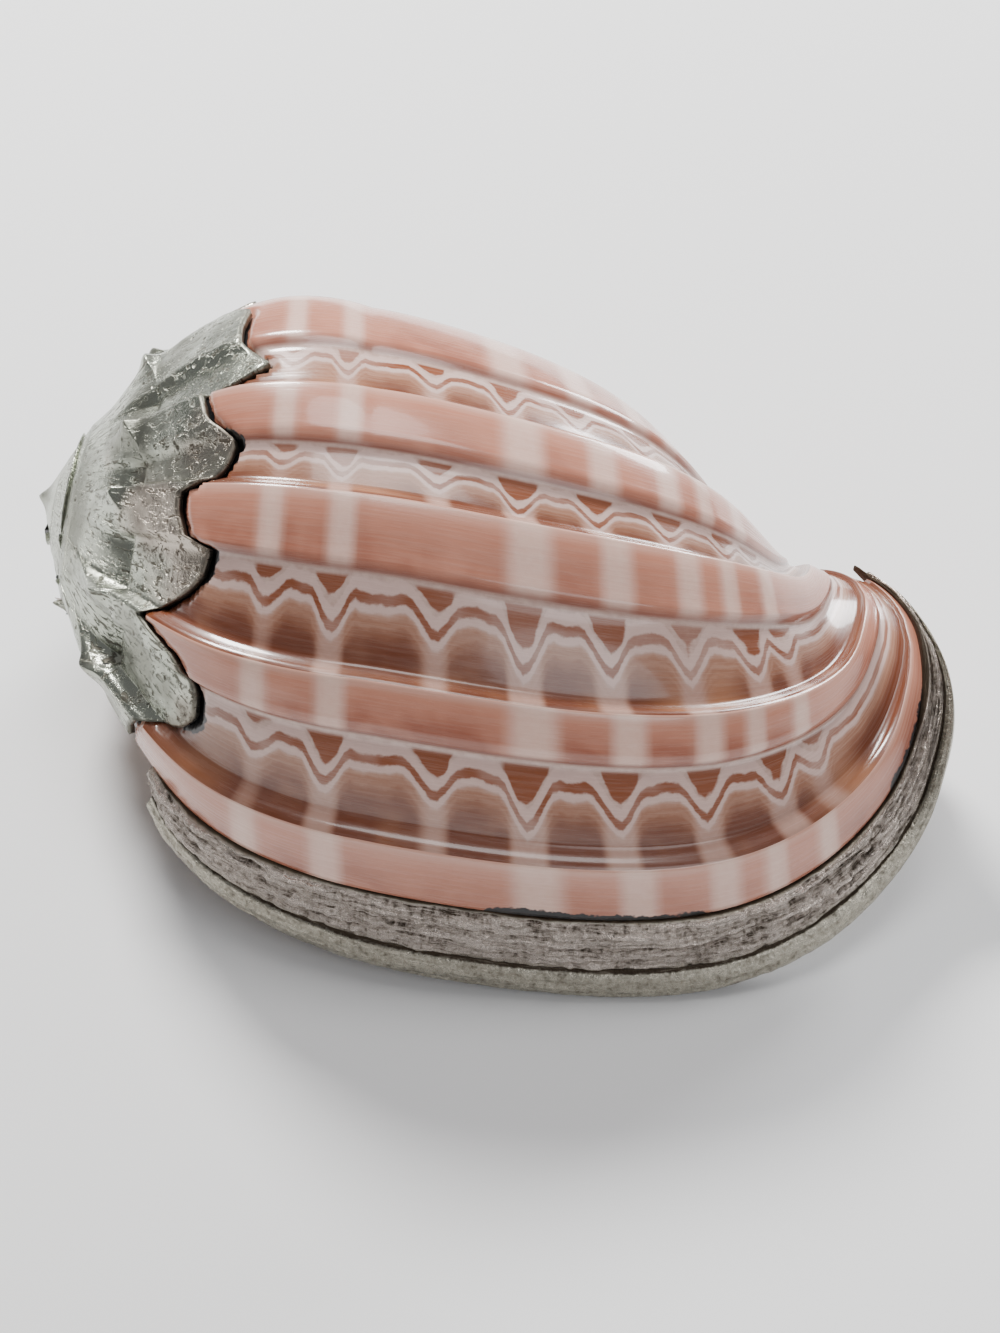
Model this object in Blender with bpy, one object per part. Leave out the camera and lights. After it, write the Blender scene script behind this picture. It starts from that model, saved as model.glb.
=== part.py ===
"""Silver-clad seashell: a harp shell with a silver cap on its spire and a silver band round its lip.

Run with blender --background --python part.py, or from the text editor. Metres, +Z up.
The shell lies as it rests on a table: aperture down, apex at -X, canal at +X, lip at -Y.

The form is a growth surface. A growth line is a profile of stations, from the suture to the
canal. It turns about the coiling axis by an angle theta, which is 0 at the lip and falls towards
the apex, and it shrinks on the way. Lengths in this file are in millimetres until place().
"""
import math

import bmesh
import bpy
import numpy as np
from mathutils import Matrix

# driving dimensions, mm and degrees
SHELL_SCALE = 1.0            # 1.0 gives a shell about 95 mm long
WALL = 1.6                   # wall of the shell at the belly
RIB_HEIGHT = 1.45            # crest of a rib above the valley beside it
SKIN = 0.75                  # silver on the spire and on the outside of the lip
SKIN_GAP = 0.30              # clear gap between the silver and the shell
HOLLOW_TURNS = (3.5, 7.0, 11.0, 16.0, 28.0, 45.0, 65.0, 90.0, 115.0, 140.0, 170.0, 200.0, 225.0)
CANAL_CLOSES = 0.45          # the hollow draws back from the canal as it goes in
ROLL = 18.73                 # rest pose: turn about the coiling axis, lip down
PITCH = 9.74                 # rest pose: apex up or down

# the growth line at the lip: name, distance from the apex along the axis, radius
LIP_STATIONS = (
    ("suture", 6.7, 11.7),
    ("ramp", 8.7, 17.8),
    ("shoulder", 11.3, 21.8),
    ("upper belly", 13.7, 24.5),
    ("high belly", 23.9, 34.8),
    ("belly", 37.1, 40.0),
    ("low belly", 51.2, 40.9),
    ("flank", 77.3, 36.2),
    ("front corner", 91.4, 23.5),
    ("fold crest", 93.8, 16.9),
    ("fold", 92.2, 14.1),
    ("canal end", 84.4, 12.6),
)
# the same stations one turn back, on the inner lip and the columella
INNER_STATIONS = (
    ("suture", 3.4, 6.1),
    ("ramp", 4.4, 9.3),
    ("shoulder", 5.7, 11.4),
    ("upper belly", 6.4, 11.9),
    ("high belly", 11.0, 16.0),
    ("belly", 18.5, 18.0),
    ("low belly", 28.5, 17.6),
    ("flank", 45.0, 13.6),
    ("front corner", 62.0, 10.2),
    ("fold crest", 75.0, 7.6),
    ("fold", 84.0, 5.6),
    ("canal end", 90.0, 3.4),
)
# growth per turn of the radius and of the height
OLD_GROWTH = 2.23            # every station, older whorls
YOUNG_RADIUS = (1.51, 3.17, 3.20)     # near the lip: at the shoulder, at mid profile, at the canal
YOUNG_HEIGHT = (1.65, 3.20, 2.22)
YOUNG_TURNS = 0.40           # the part of a turn over which young growth rules
GROWTH_KNOTS = (2 / 11, 0.5, 1.0)
# the growth line leans back towards the canal
LEAN = 121.9
LEAN_START = 0.5456
LEAN_POWER = 2.442
LEAN_TILT = -20.4
INNER_BLEND = (-150.0, -360.0)        # theta where the columella's profile begins and rules
FRONT_BLEND = (95.0, 120.0)  # both are this much nearer the lip at the canal end

# ribs on the last whorl: angle of the crest, width of the rib, from the lip back
LAST_RIBS = ((-25.0, 8.0), (-48.7, 8.5), (-76.8, 12.0), (-98.0, 11.5), (-132.2, 20.0))
RIB_STEP = 27.7              # spacing of the older ribs
RIB_WIDTH = 11.5
CALLUS_EDGE = (-322.0, -292.0)        # ribs fade out under the inner lip's callus
SUTURE_S = 0.29              # where the next whorl lies on a growth line
SPINE = 2.6                  # how far a rib's shoulder point stands out
TIP_AT = 92.0                # the columella's tip on the axis

# silver
CAP_EDGE = 0.345             # mean edge of the cap on the growth line
CAP_LOBE = 0.034             # depth of its scallops
BAND_START = -15.4           # where the lip band begins
CAP_END = BAND_START         # the cap stops in line with the shell's own edge
BEHIND_LIP_S = 0.27          # and keeps clear of the lip's own suture
CAP_LIP_S = 0.297            # its edge over the lip, above the band's end
BAND_STEPS = 40
BEAD_POINT = 10              # the point of its section at the very edge of the lip
BAND_RUN = (0.325, 0.93)     # where the band begins and ends on the growth line
CAP_UNDERSIDE = -338.0       # past the lip the cap only covers the spire up to here
SILVER_PROUD = 0.3           # the cap's edge stands above the bare shell by this
LIP_SHEAR = 12.0             # columns this near the lip are sheared to it

ROWS = (0.0, 0.09, 2 / 11, SUTURE_S, 0.325, 0.3636, 0.40, 0.44, 0.485, 0.53, 0.57, 0.605,
        0.64, 0.67, 0.70, 0.727, 0.755, 0.785, 0.818, 0.85, 0.88, 0.909, 0.935, 0.96)
CAP_EDGE_ROWS = {4: 0.002, 5: 0.0075}  # these rows follow the cap's edge instead
SUTURE_ROW = 3
CORNER_ROW = 5               # the hollow's back corner on the whorl before
FOLD_ROW = 17                # rows in front of this one close up away from the lip
FRONT_SHORT = 0.25           # by this part
WALL_ROW = 3                 # the first row of the hollow's outer wall
LAST_WALL_ROW = 20           # and the last, where the collar round the canal is solid
FULL_TURN = 360.0
RIB_FRACTIONS = (-0.24, 0.0, 0.35, 0.74, 1.10)      # columns of the mesh across a rib


class Profile:
    """Natural cubic spline through evenly spaced values, read at places from 0 to 1."""

    def __init__(self, values):
        self.values = np.array(values, float)
        count = len(values)
        system = 4.0 * np.eye(count) + np.eye(count, k=1) + np.eye(count, k=-1)
        system[0] = np.eye(count)[0]
        system[-1] = np.eye(count)[-1]
        pull = np.zeros(count)
        pull[1:-1] = 6.0 * (self.values[2:] - 2.0 * self.values[1:-1] + self.values[:-2])
        self.bend = np.linalg.solve(system, pull)

    def at(self, where):
        place = np.clip(where, 0.0, 1.0) * (len(self.values) - 1)
        left = np.minimum(place.astype(int), len(self.values) - 2)
        b = place - left
        a = 1.0 - b
        cubic = ((a ** 3 - a) * self.bend[left] + (b ** 3 - b) * self.bend[left + 1]) / 6.0
        return a * self.values[left] + b * self.values[left + 1] + cubic


def smooth(low, high, value):
    """0 at low, 1 at high, with soft ends. Works downwards too."""
    t = np.clip((np.asarray(value, float) - low) / (high - low), 0.0, 1.0)
    return t * t * (3.0 - 2.0 * t)


LIP_AXIAL = Profile([station[1] for station in LIP_STATIONS])
LIP_RADIAL = Profile([station[2] for station in LIP_STATIONS])
INNER_AXIAL = Profile([station[1] for station in INNER_STATIONS])
INNER_RADIAL = Profile([station[2] for station in INNER_STATIONS])


def growth(turns, s, young):
    """Growth factor at a number of turns before the lip, with the young rate near it."""
    old = math.log(OLD_GROWTH)
    rate = np.interp(s, GROWTH_KNOTS, np.log(young))
    recent = -YOUNG_TURNS * np.tanh(-turns / YOUNG_TURNS)
    return np.exp(old * turns + (rate - old) * recent)


def lean(s):
    """Degrees by which the growth line runs behind theta at s."""
    back = np.clip((s - LEAN_START) / (1.0 - LEAN_START), 0.0, 1.0) ** LEAN_POWER
    return -LEAN * back + LEAN_TILT * (s - 0.5)


def crest_surface(theta, s):
    """Point of the smooth surface that touches the ribs' crests: x on the axis, y to the lip."""
    theta, s = np.broadcast_arrays(np.asarray(theta, float), np.asarray(s, float))
    turns = theta / FULL_TURN
    axial = LIP_AXIAL.at(s) * growth(turns, s, YOUNG_HEIGHT)
    radial = LIP_RADIAL.at(s) * growth(turns, s, YOUNG_RADIUS)
    older = OLD_GROWTH ** np.minimum(turns + 1.0, 0.0)
    front = smooth(0.78, 1.0, s)
    begin = INNER_BLEND[0] + FRONT_BLEND[0] * front
    end = INNER_BLEND[1] + FRONT_BLEND[1] * front
    inner = smooth(0.0, 1.0, (theta - begin) / (end - begin)) * smooth(SUTURE_S, 0.42, s)
    axial = axial * (1.0 - inner) + INNER_AXIAL.at(s) * older * inner
    radial = radial * (1.0 - inner) + INNER_RADIAL.at(s) * older * inner
    angle = np.radians(theta + lean(s))
    return np.stack([axial, radial * np.cos(angle), radial * np.sin(angle)], -1)


def normal_out(theta, s):
    """Unit normal of crest_surface, away from the shell's inside."""
    step = 1e-3
    along = crest_surface(theta, np.minimum(s + step, 1.0)) - crest_surface(theta, np.maximum(s - step, 0.0))
    around = crest_surface(theta + 0.1, s) - crest_surface(theta - 0.1, s)
    cross = np.cross(around, along)
    return cross / np.linalg.norm(cross, axis=-1, keepdims=True)


def rib_list():
    """Crest angle and width of every rib, from the lip back over four turns."""
    ribs = list(LAST_RIBS)
    crest = LAST_RIBS[-1][0] - RIB_STEP
    while crest > -4.0 * FULL_TURN:
        ribs.append((crest, RIB_WIDTH))
        crest -= RIB_STEP
    return ribs


RIBS = rib_list()


def rib_shape(theta):
    """1 on a rib's crest, falling crisply on its old side and softly on its young side, 0 between."""
    theta = np.asarray(theta, float)
    height = np.zeros(theta.shape)
    for crest, width in RIBS:
        x = (theta - crest) / width
        rise = smooth(-0.24, 0.0, x)
        face = 1.0 - 0.30 * smooth(0.0, 0.75, x)
        fall = 1.0 - smooth(0.72, 1.10, x)
        height = np.maximum(height, rise * face * fall)
    return height


def rib_depth(theta, s):
    """How far the outside lies under the crest surface, mm."""
    theta, s = np.broadcast_arrays(np.asarray(theta, float), np.asarray(s, float))
    size = growth(theta / FULL_TURN, 0.5, YOUNG_RADIUS) * smooth(-900.0, -650.0, theta)
    ends = (0.35 + 0.65 * smooth(0.0, 0.15, s)) * (1.0 - 0.75 * smooth(0.74, 0.92, s))
    spire = (theta < -FULL_TURN - 1e-6) & (s < SUTURE_S + 0.01)
    ribs = np.maximum(smooth(CALLUS_EDGE[0], CALLUS_EDGE[1], theta), spire) * rib_shape(theta)
    return RIB_HEIGHT * size * ends * (1.0 - ribs)


def spine_shift(theta, s):
    """Moves the shoulder: towards the apex at a crest, away from it between ribs, mm."""
    theta, s = np.broadcast_arrays(np.asarray(theta, float), np.asarray(s, float))
    size = growth(theta / FULL_TURN, 0.2, YOUNG_RADIUS) * smooth(-900.0, -650.0, theta)
    at_shoulder = np.exp(-((s - 2 / 11) / 0.05) ** 2)
    point = rib_shape(theta) ** 3
    along = SPINE * size * at_shoulder * (0.55 - point)
    shift = np.zeros(theta.shape + (3,))
    shift[..., 0] = along
    return shift


def outside(theta, s, depth=0.0):
    """Point of the ribbed outside, sunk by depth."""
    sunk = rib_depth(theta, s) + depth
    return crest_surface(theta, s) + spine_shift(theta, s) - normal_out(theta, s) * sunk[..., None]


def welded(theta, s, depth=0.0):
    """Outside point with its suture edge pulled onto the whorl before."""
    theta, s = np.broadcast_arrays(np.asarray(theta, float), np.asarray(s, float))
    here = outside(theta, s, depth)
    zero = np.zeros(theta.shape)
    gap = outside(theta - FULL_TURN, zero + SUTURE_S, depth) - outside(theta, zero, depth)
    fade = np.clip(1.0 - s / SUTURE_S, 0.0, 1.0) ** 2
    return here + gap * fade[..., None]


def columns(marks, turns):
    """Angles of the mesh columns over a number of turns, ending at the lip."""
    last = sorted(set(marks))
    angles = []
    for turn in range(turns - 1, -1, -1):
        angles += [angle - FULL_TURN * turn for angle in last[:-1]]
    return np.array(angles + [last[-1]])


def rib_marks(fractions, start):
    """Column angles of one turn: fixed fractions of every rib, the valley's middle and the lip."""
    marks = [start - FULL_TURN, start]
    ribs = [rib for rib in RIBS if rib[0] > -318.0]
    young = start + 6.0
    for crest, width in ribs:
        for part in fractions:
            angle = crest + part * width
            if -FULL_TURN + 6.0 < angle < min(start - 1.5, young - 1.0):
                marks.append(angle)
        valley = 0.5 * (crest + 1.1 * width + young)
        if young - crest - 1.1 * width > 5.0 and valley < start - 1.5:
            marks.append(valley)
        young = crest - 0.24 * width
    marks += [-360.0, -346.0, -333.0]
    return marks


class Cage:
    """Collects vertices and faces. A vertex may be shared under several names."""

    def __init__(self):
        self.points = []
        self.faces = []

    def add(self, point):
        self.points.append(tuple(float(value) for value in point))
        return len(self.points) - 1

    def add_all(self, points):
        return [self.add(point) for point in points]

    def face(self, *corners):
        ring = []
        for corner in corners:
            if corner not in ring:
                ring.append(corner)
        if len(ring) > 2:
            self.faces.append(ring)

    def sheet(self, grid, flip=False):
        """Quads over a list of index rows, split along one diagonal."""
        for lower, upper in zip(grid[:-1], grid[1:]):
            for a, b, c, d in zip(lower[:-1], lower[1:], upper[1:], upper[:-1]):
                if flip:
                    self.face(a, c, b)
                    self.face(a, d, c)
                else:
                    self.face(a, b, c)
                    self.face(a, c, d)

    def fan(self, loop, centre):
        for a, b in zip(loop[:-1], loop[1:]):
            self.face(a, b, centre)


def place(point):
    """Millimetres about the coiling axis to metres on the table."""
    turn = Matrix.Rotation(math.radians(PITCH), 4, "Y") @ Matrix.Rotation(math.radians(180.0 + ROLL), 4, "X")
    return turn @ (Matrix.Scale(0.001 * SHELL_SCALE, 4) @ Matrix.Translation(point)).translation


def cage_object(name, cage, collection, material):
    """Object from a cage, smooth-shaded with creases kept by angle, faces turned outwards."""
    mesh = bpy.data.meshes.new(name)
    mesh.from_pydata([place(point) for point in cage.points], [], cage.faces)
    form = bmesh.new()
    form.from_mesh(mesh)
    bmesh.ops.recalc_face_normals(form, faces=form.faces)
    form.to_mesh(mesh)
    form.free()
    mesh.shade_smooth()
    piece = bpy.data.objects.new(name, mesh)
    collection.objects.link(piece)
    mesh.materials.append(material)
    return piece


def principled(name, colour, roughness, metallic=0.0, coat=0.0):
    material = bpy.data.materials.new(name)
    material.use_nodes = True
    shader = material.node_tree.nodes["Principled BSDF"]
    shader.inputs["Base Color"].default_value = (*colour, 1.0)
    shader.inputs["Roughness"].default_value = roughness
    shader.inputs["Metallic"].default_value = metallic
    shader.inputs["Coat Weight"].default_value = coat
    return material


def spiral_grid(cage, angles, suture_row, turns, points_at, last_from):
    """Index grid of a whorled surface: row 0 of a whorl is the suture row of the whorl before."""
    per_turn = (len(angles) - 1) // turns
    grid = []
    for k, theta in enumerate(angles):
        points = points_at(theta)
        if theta < last_from:
            points = points[:suture_row + 1]
        welded_row = k >= per_turn
        line = [grid[k - per_turn][suture_row]] if welded_row else []
        grid.append(line + cage.add_all(points[int(welded_row):]))
    return grid, per_turn


def cover_spiral(cage, grid, per_turn, suture_row, apex, flip):
    """Faces of a whorled grid and its apex."""
    for k in range(len(grid) - 1):
        short = min(len(grid[k]), len(grid[k + 1]))
        cage.sheet([grid[k][:short], grid[k + 1][:short]], flip)
    centre = cage.add(apex)
    loop = [grid[k][0] for k in range(per_turn + 1)] + grid[0][suture_row - 1::-1]
    if flip:
        loop = loop[::-1]
    cage.fan(loop[::-1], centre)


def fold_thin(s):
    """Depths are less at the suture and where the growth line folds round the canal."""
    return (0.3 + 0.7 * smooth(0.04, 0.17, s)) * (1.0 - 0.72 * smooth(0.78, 0.93, s))


def silver_depth(theta, s):
    """How far the shell is sunk to make room for the silver over it."""
    edge = cap_edge(theta)
    under_cap = 1.0 - smooth(edge + 0.003, edge + 0.0065, s)
    proud = SILVER_PROUD * (1.0 - smooth(edge, 0.48, s))
    deeper = SKIN_GAP * (1.0 - smooth(0.15, SUTURE_S + 0.02, s))
    return (SKIN + SKIN_GAP + deeper) * under_cap + proud * (1.0 - under_cap)


def row_places(theta):
    """Places of the mesh rows on the growth line at theta."""
    places = np.array(ROWS)
    if theta >= BAND_START - FULL_TURN:
        for row, beyond in CAP_EDGE_ROWS.items():
            places[row] = cap_edge(theta) + beyond
    short = FRONT_SHORT * smooth(-40.0, -110.0, theta)
    return places - short * np.maximum(places - ROWS[FOLD_ROW], 0.0)


def lip_angle(s):
    """Where the shell ends: at the lip behind the cap, and a gap behind the silver band below."""
    gap = np.degrees(SKIN_GAP / LIP_RADIAL.at(s)) * (1.0 + smooth(0.75, 0.95, s))
    return BAND_START - gap


def to_lip(theta, s):
    """Shears the columns near the lip so that the last one lies on lip_angle."""
    free = BAND_START - LIP_SHEAR
    part = np.maximum(theta - free, 0.0) / LIP_SHEAR
    return np.minimum(theta, free) + part * (lip_angle(s) - free)


def shell_outside(theta, s):
    """The shell's own outside, sunk under the silver."""
    return welded(theta, s, silver_depth(theta, s))


def cap_edge(theta):
    """The cap's scalloped edge: cusps at the crests, lobes between."""
    theta = np.asarray(theta, float)
    drop = np.zeros(theta.shape)
    crests = [0.0] + [rib[0] for rib in RIBS if rib[0] > -FULL_TURN - 30.0]
    for young, old in zip(crests[:-1], crests[1:]):
        x = np.clip((theta - old) / (young - old), 0.0, 1.0)
        inside = (theta >= old) & (theta < young)
        drop = np.where(inside, np.sin(np.pi * x ** 0.8), drop)
    edge = CAP_EDGE - CAP_LOBE * 0.55 + CAP_LOBE * drop
    behind_band = smooth(BAND_START - 4.0, BAND_START + 2.0, theta)
    return edge * (1.0 - behind_band) + CAP_LIP_S * behind_band


def inner_wall(theta, s):
    """Inside of the wall over the aperture hollow."""
    theta, s = np.broadcast_arrays(np.asarray(theta, float), np.asarray(s, float))
    wall = WALL * (1.0 - 0.4 * smooth(-60.0, -HOLLOW_TURNS[-1], theta))
    ribs = RIB_HEIGHT * growth(theta / FULL_TURN, 0.5, YOUNG_RADIUS)
    shoulder = (SKIN + SKIN_GAP + 1.2) * (1.0 - smooth(0.33, 0.42, s))
    depth = (ribs + wall) * fold_thin(s) + shoulder
    return crest_surface(theta, s) - normal_out(theta, s) * depth[..., None]


def close_strip(cage, first, second):
    """Triangles between two runs of vertices of any lengths that go the same way."""
    a = 0
    b = 0
    while a < len(first) - 1 or b < len(second) - 1:
        step_first = (a + 1) / max(len(first) - 1, 1) <= (b + 1) / max(len(second) - 1, 1)
        if (step_first and a < len(first) - 1) or b == len(second) - 1:
            cage.face(first[a], first[a + 1], second[b])
            a += 1
        else:
            cage.face(first[a], second[b + 1], second[b])
            b += 1


def shell_cage():
    """The whole shell as one closed cage: outside, rim, hollow, columella and tip."""
    cage = Cage()
    marks = rib_marks(RIB_FRACTIONS, BAND_START)
    turns = 2
    angles = columns(marks, turns)

    def outside_at(theta):
        s = row_places(theta)
        return shell_outside(to_lip(theta, s), s)

    back = BAND_START - FULL_TURN
    grid, per_turn = spiral_grid(cage, angles, SUTURE_ROW, turns, outside_at, back)
    cover_spiral(cage, grid, per_turn, SUTURE_ROW, (1.9, 0.0, 0.0), False)
    last = grid[(turns - 1) * per_turn:]

    # the hollow: outer wall over the whorl before, which runs on inwards as the parietal wall
    floor = row_places(back)[CORNER_ROW:]
    roof = np.array(ROWS[WALL_ROW:LAST_WALL_ROW + 1])
    parietal = [last[0][CORNER_ROW:]]
    wall = [parietal[0][:1] + cage.add_all(inner_wall(lip_angle(roof), roof))]
    for depth in HOLLOW_TURNS:
        reach = 1.0 - CANAL_CLOSES * depth / HOLLOW_TURNS[-1]
        floor_here = floor[0] + (floor - floor[0]) * reach
        roof_here = roof[0] + (roof - roof[0]) * reach
        parietal.append(cage.add_all(shell_outside(back - depth, floor_here)))
        roof_points = inner_wall(lip_angle(roof_here) - depth, roof_here)
        wall.append(parietal[-1][:1] + cage.add_all(roof_points))
    cage.sheet(parietal, True)
    cage.sheet(wall, False)
    cage.sheet([[line[-1] for line in wall], [line[-1] for line in parietal]], False)
    close_strip(cage, wall[-1], parietal[-1])

    # the rim at the lip
    outer = last[-1]
    corner = last[0][SUTURE_ROW:CORNER_ROW + 1]
    cage.face(*corner)
    close_strip(cage, outer[:WALL_ROW + 1], [corner[0], corner[-1], wall[0][1]])
    cage.sheet([outer[WALL_ROW:LAST_WALL_ROW + 1], wall[0][1:]], False)
    cage.fan(outer[LAST_WALL_ROW:], wall[0][-1])

    # the columella's tip closes the front
    tip = cage.add((TIP_AT, 0.0, 0.0))
    front = [line[-1] for line in last]
    rings = [front]
    for part, bulge in ((0.35, 1.18), (0.7, 1.25)):
        ring = []
        for index in front:
            x, y, z = cage.points[index]
            shrink = (1.0 - part) * bulge
            ring.append(cage.add((x + (TIP_AT - x) * part, y * shrink, z * shrink)))
        rings.append(ring)
    cage.sheet(rings, True)
    cage.fan(rings[-1], tip)
    seam = [line[-1] for line in rings] + [tip] + [line[0] for line in rings[::-1]]
    cage.fan(seam, outer[-1])
    cage.face(outer[-1], wall[0][-1], parietal[0][-1])
    return cage


CAP_ROWS = (0.0, 0.09, 2 / 11, SUTURE_S)


def cap_cage():
    """The silver cap: a thin whorled skin over the spire and shoulder."""
    cage = Cage()
    turns = 2
    marks = rib_marks(RIB_FRACTIONS, CAP_END)
    angles = columns(marks, turns)
    sutured = CAP_ROWS.index(SUTURE_S)
    edge_rows = []
    for layer in (0.0, SKIN):
        def skin_at(theta, layer=layer):
            places = np.array(CAP_ROWS + (1.0, 1.0))
            if CAP_END - FULL_TURN + 1.0 < theta < CAP_UNDERSIDE:
                places[sutured] = BEHIND_LIP_S
            places[-2:] = SUTURE_S + (cap_edge(theta) - SUTURE_S) * np.array((0.5, 1.0))
            return welded(theta, places, layer)
        grid, per_turn = spiral_grid(cage, angles, sutured, turns, skin_at, CAP_UNDERSIDE)
        apex = (-0.9 + layer, 0.0, 0.0)
        cover_spiral(cage, grid, per_turn, sutured, apex, layer > 0.0)
        end = (turns - 1) * per_turn
        edge = []
        was_full = False
        for line in grid[end:]:
            full = len(line) > sutured + 1
            if full and not was_full:
                edge += line[sutured:-1]
            edge.append(line[-1])
            was_full = full
        edge += grid[-1][-2::-1]
        edge_rows.append(edge)
    cage.sheet(edge_rows, False)
    return cage


def band_section():
    """Section of the lip band as angle and depth: over the last rib, the groove, the bead, inside."""
    inside = RIB_HEIGHT + WALL
    return ((BAND_START, 0.5), (-14.6, 0.0), (-11.5, 0.2), (-8.6, 0.4), (-6.6, 0.5), (-5.4, 0.9),
            (-4.2, 0.3), (-2.6, 0.0), (-1.0, 0.1), (-0.1, 0.8), (0.2, 1.8), (-0.1, 2.8),
            (-1.4, inside + 0.4), (-4.5, inside + 0.4), (-8.0, inside + 0.2), (-11.5, inside),
            (BAND_START, inside), (BAND_START, 0.5 * inside))


def band_cage():
    """The silver band: one section carried along the lip, closed at both ends."""
    cage = Cage()
    section = band_section()
    rings = []
    for s in np.linspace(BAND_RUN[0], BAND_RUN[1], BAND_STEPS):
        ring = []
        for theta, depth in section:
            point = crest_surface(theta, s) - normal_out(theta, s) * depth * fold_thin(s)
            ring.append(cage.add(point))
        rings.append(ring + [ring[0]])
    cage.sheet(rings, False)
    for ring in (rings[0], rings[-1]):
        close_strip(cage, ring[:BEAD_POINT + 1], ring[-1:BEAD_POINT - 1:-1])
    return cage


def clear_scene():
    for item in list(bpy.data.objects):
        bpy.data.objects.remove(item, do_unlink=True)


def main():
    clear_scene()
    parts = bpy.data.collections.new("silver_clad_seashell")
    bpy.context.scene.collection.children.link(parts)
    shell = principled("shell_glaze", (0.62, 0.40, 0.33), 0.25, coat=0.5)
    silver = principled("silver_cap_metal", (0.72, 0.71, 0.68), 0.32, metallic=1.0)
    rough = principled("silver_band_metal", (0.60, 0.58, 0.55), 0.42, metallic=1.0)
    pieces = [
        cage_object("shell", shell_cage(), parts, shell),
        cage_object("silver_spire_cap", cap_cage(), parts, silver),
        cage_object("silver_lip_band", band_cage(), parts, rough),
    ]
    corners = np.array([corner.co for piece in pieces for corner in piece.data.vertices])
    low = corners.min(axis=0)
    middle = (low + corners.max(axis=0)) / 2.0
    for piece in pieces:
        piece.location = (-middle[0], -middle[1], -low[2])


main()
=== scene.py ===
"""Silver-clad seashell: the finished looks of a harp shell with a silver cap and a silver lip band.

The file is laid out as an add-on: settings, one operator for each piece, a panel, and a main
function that runs them in order. The shell's form is a growth surface. A growth line, from the
suture to the canal, turns about the coiling axis by theta (0 at the lip, falling towards the
apex) and shrinks on the way. s runs from 0 at the suture to 1 at the end of the canal. Lengths
are in millimetres until rested(), which lays the shell on the table and gives metres.
"""
import math

import bmesh
import bpy
import numpy as np
from bpy.props import FloatProperty, FloatVectorProperty, IntProperty, PointerProperty
from mathutils import Matrix, Vector


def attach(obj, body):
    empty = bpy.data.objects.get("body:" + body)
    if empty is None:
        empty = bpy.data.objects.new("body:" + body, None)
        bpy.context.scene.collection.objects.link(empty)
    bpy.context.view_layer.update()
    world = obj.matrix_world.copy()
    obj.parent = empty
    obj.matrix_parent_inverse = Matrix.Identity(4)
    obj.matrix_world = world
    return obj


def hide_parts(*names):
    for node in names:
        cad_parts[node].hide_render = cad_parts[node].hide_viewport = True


bl_info = {
    "name": "Silver-clad seashell",
    "version": (1, 0, 0),
    "blender": (4, 5, 0),
    "location": "3D View > Sidebar > Seashell",
    "description": "A harp shell with a silver cap over its spire and a silver band round its lip",
    "category": "Add Mesh",
}

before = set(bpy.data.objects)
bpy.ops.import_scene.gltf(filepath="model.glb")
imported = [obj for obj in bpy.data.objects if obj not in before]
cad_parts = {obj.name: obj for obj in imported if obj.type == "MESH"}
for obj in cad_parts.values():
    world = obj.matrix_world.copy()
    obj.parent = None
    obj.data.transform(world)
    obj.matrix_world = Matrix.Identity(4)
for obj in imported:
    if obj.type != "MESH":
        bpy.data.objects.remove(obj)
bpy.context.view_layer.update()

FULL_TURN = 360.0

# how the shell lies on the table: turned about its coiling axis and pitched, then set down
ROLL = 18.73
PITCH = 9.74
SET_DOWN = (-46.44, 8.05, 21.98)

# the growth line at the lip: distance from the apex along the axis, and radius
LIP_STATIONS = ((6.7, 11.7), (8.7, 17.8), (11.3, 21.8), (13.7, 24.5), (23.9, 34.8), (37.1, 40.0),
                (51.2, 40.9), (77.3, 36.2), (91.4, 23.5), (93.8, 16.9), (92.2, 14.1), (84.4, 12.6))
# the same stations one turn back, on the inner lip and the columella
INNER_STATIONS = ((3.4, 6.1), (4.4, 9.3), (5.7, 11.4), (6.4, 11.9), (11.0, 16.0), (18.5, 18.0),
                  (28.5, 17.6), (45.0, 13.6), (62.0, 10.2), (75.0, 7.6), (84.0, 5.6), (90.0, 3.4))
OLD_GROWTH = 2.23
YOUNG_RADIUS = (1.51, 3.17, 3.20)
YOUNG_HEIGHT = (1.65, 3.20, 2.22)
YOUNG_TURNS = 0.40
GROWTH_KNOTS = (2 / 11, 0.5, 1.0)
LEAN = 121.9
LEAN_START = 0.5456
LEAN_POWER = 2.442
LEAN_TILT = -20.4
INNER_BLEND = (-150.0, -360.0)
FRONT_BLEND = (95.0, 120.0)

# ribs on the last whorl: angle of the crest and width, from the lip back; then an even step
LAST_RIBS = ((-25.0, 10.5), (-48.7, 8.5), (-76.8, 12.0), (-98.0, 11.5), (-132.2, 20.0))
RIB_STEP = 27.7
RIB_WIDTH = 11.5
CALLUS_EDGE = (-322.0, -292.0)
SUTURE_S = 0.29
SPINE = 3.2
SPIRE_SMOOTH = (-430.0, -372.0)
TIP_AT = 92.0
# where along the growth line the inner lip takes over, where the front part begins, the shoulder
INNER_ROWS = (SUTURE_S, 0.42)
FRONT_ROWS = (0.78, 1.0)
SHOULDER_S = 2 / 11
SHOULDER_WIDTH = 0.05
# a rib's shape across its width: rise, slow fall of its face, and step down
RIB_RISE = (-0.20, 0.0)
RIB_FACE = (0.0, 0.9)
RIB_FACE_DROP = 0.36
RIB_STEP_DOWN = (0.88, 1.05)
# relief is less at the suture and at the front: share that is left or lost, and over what s
LOW_AT_SUTURE = (0.35, (0.0, 0.15))
LOW_AT_FRONT = (0.75, (0.74, 0.92))
APEX_PLAIN = (-900.0, -650.0)

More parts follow.
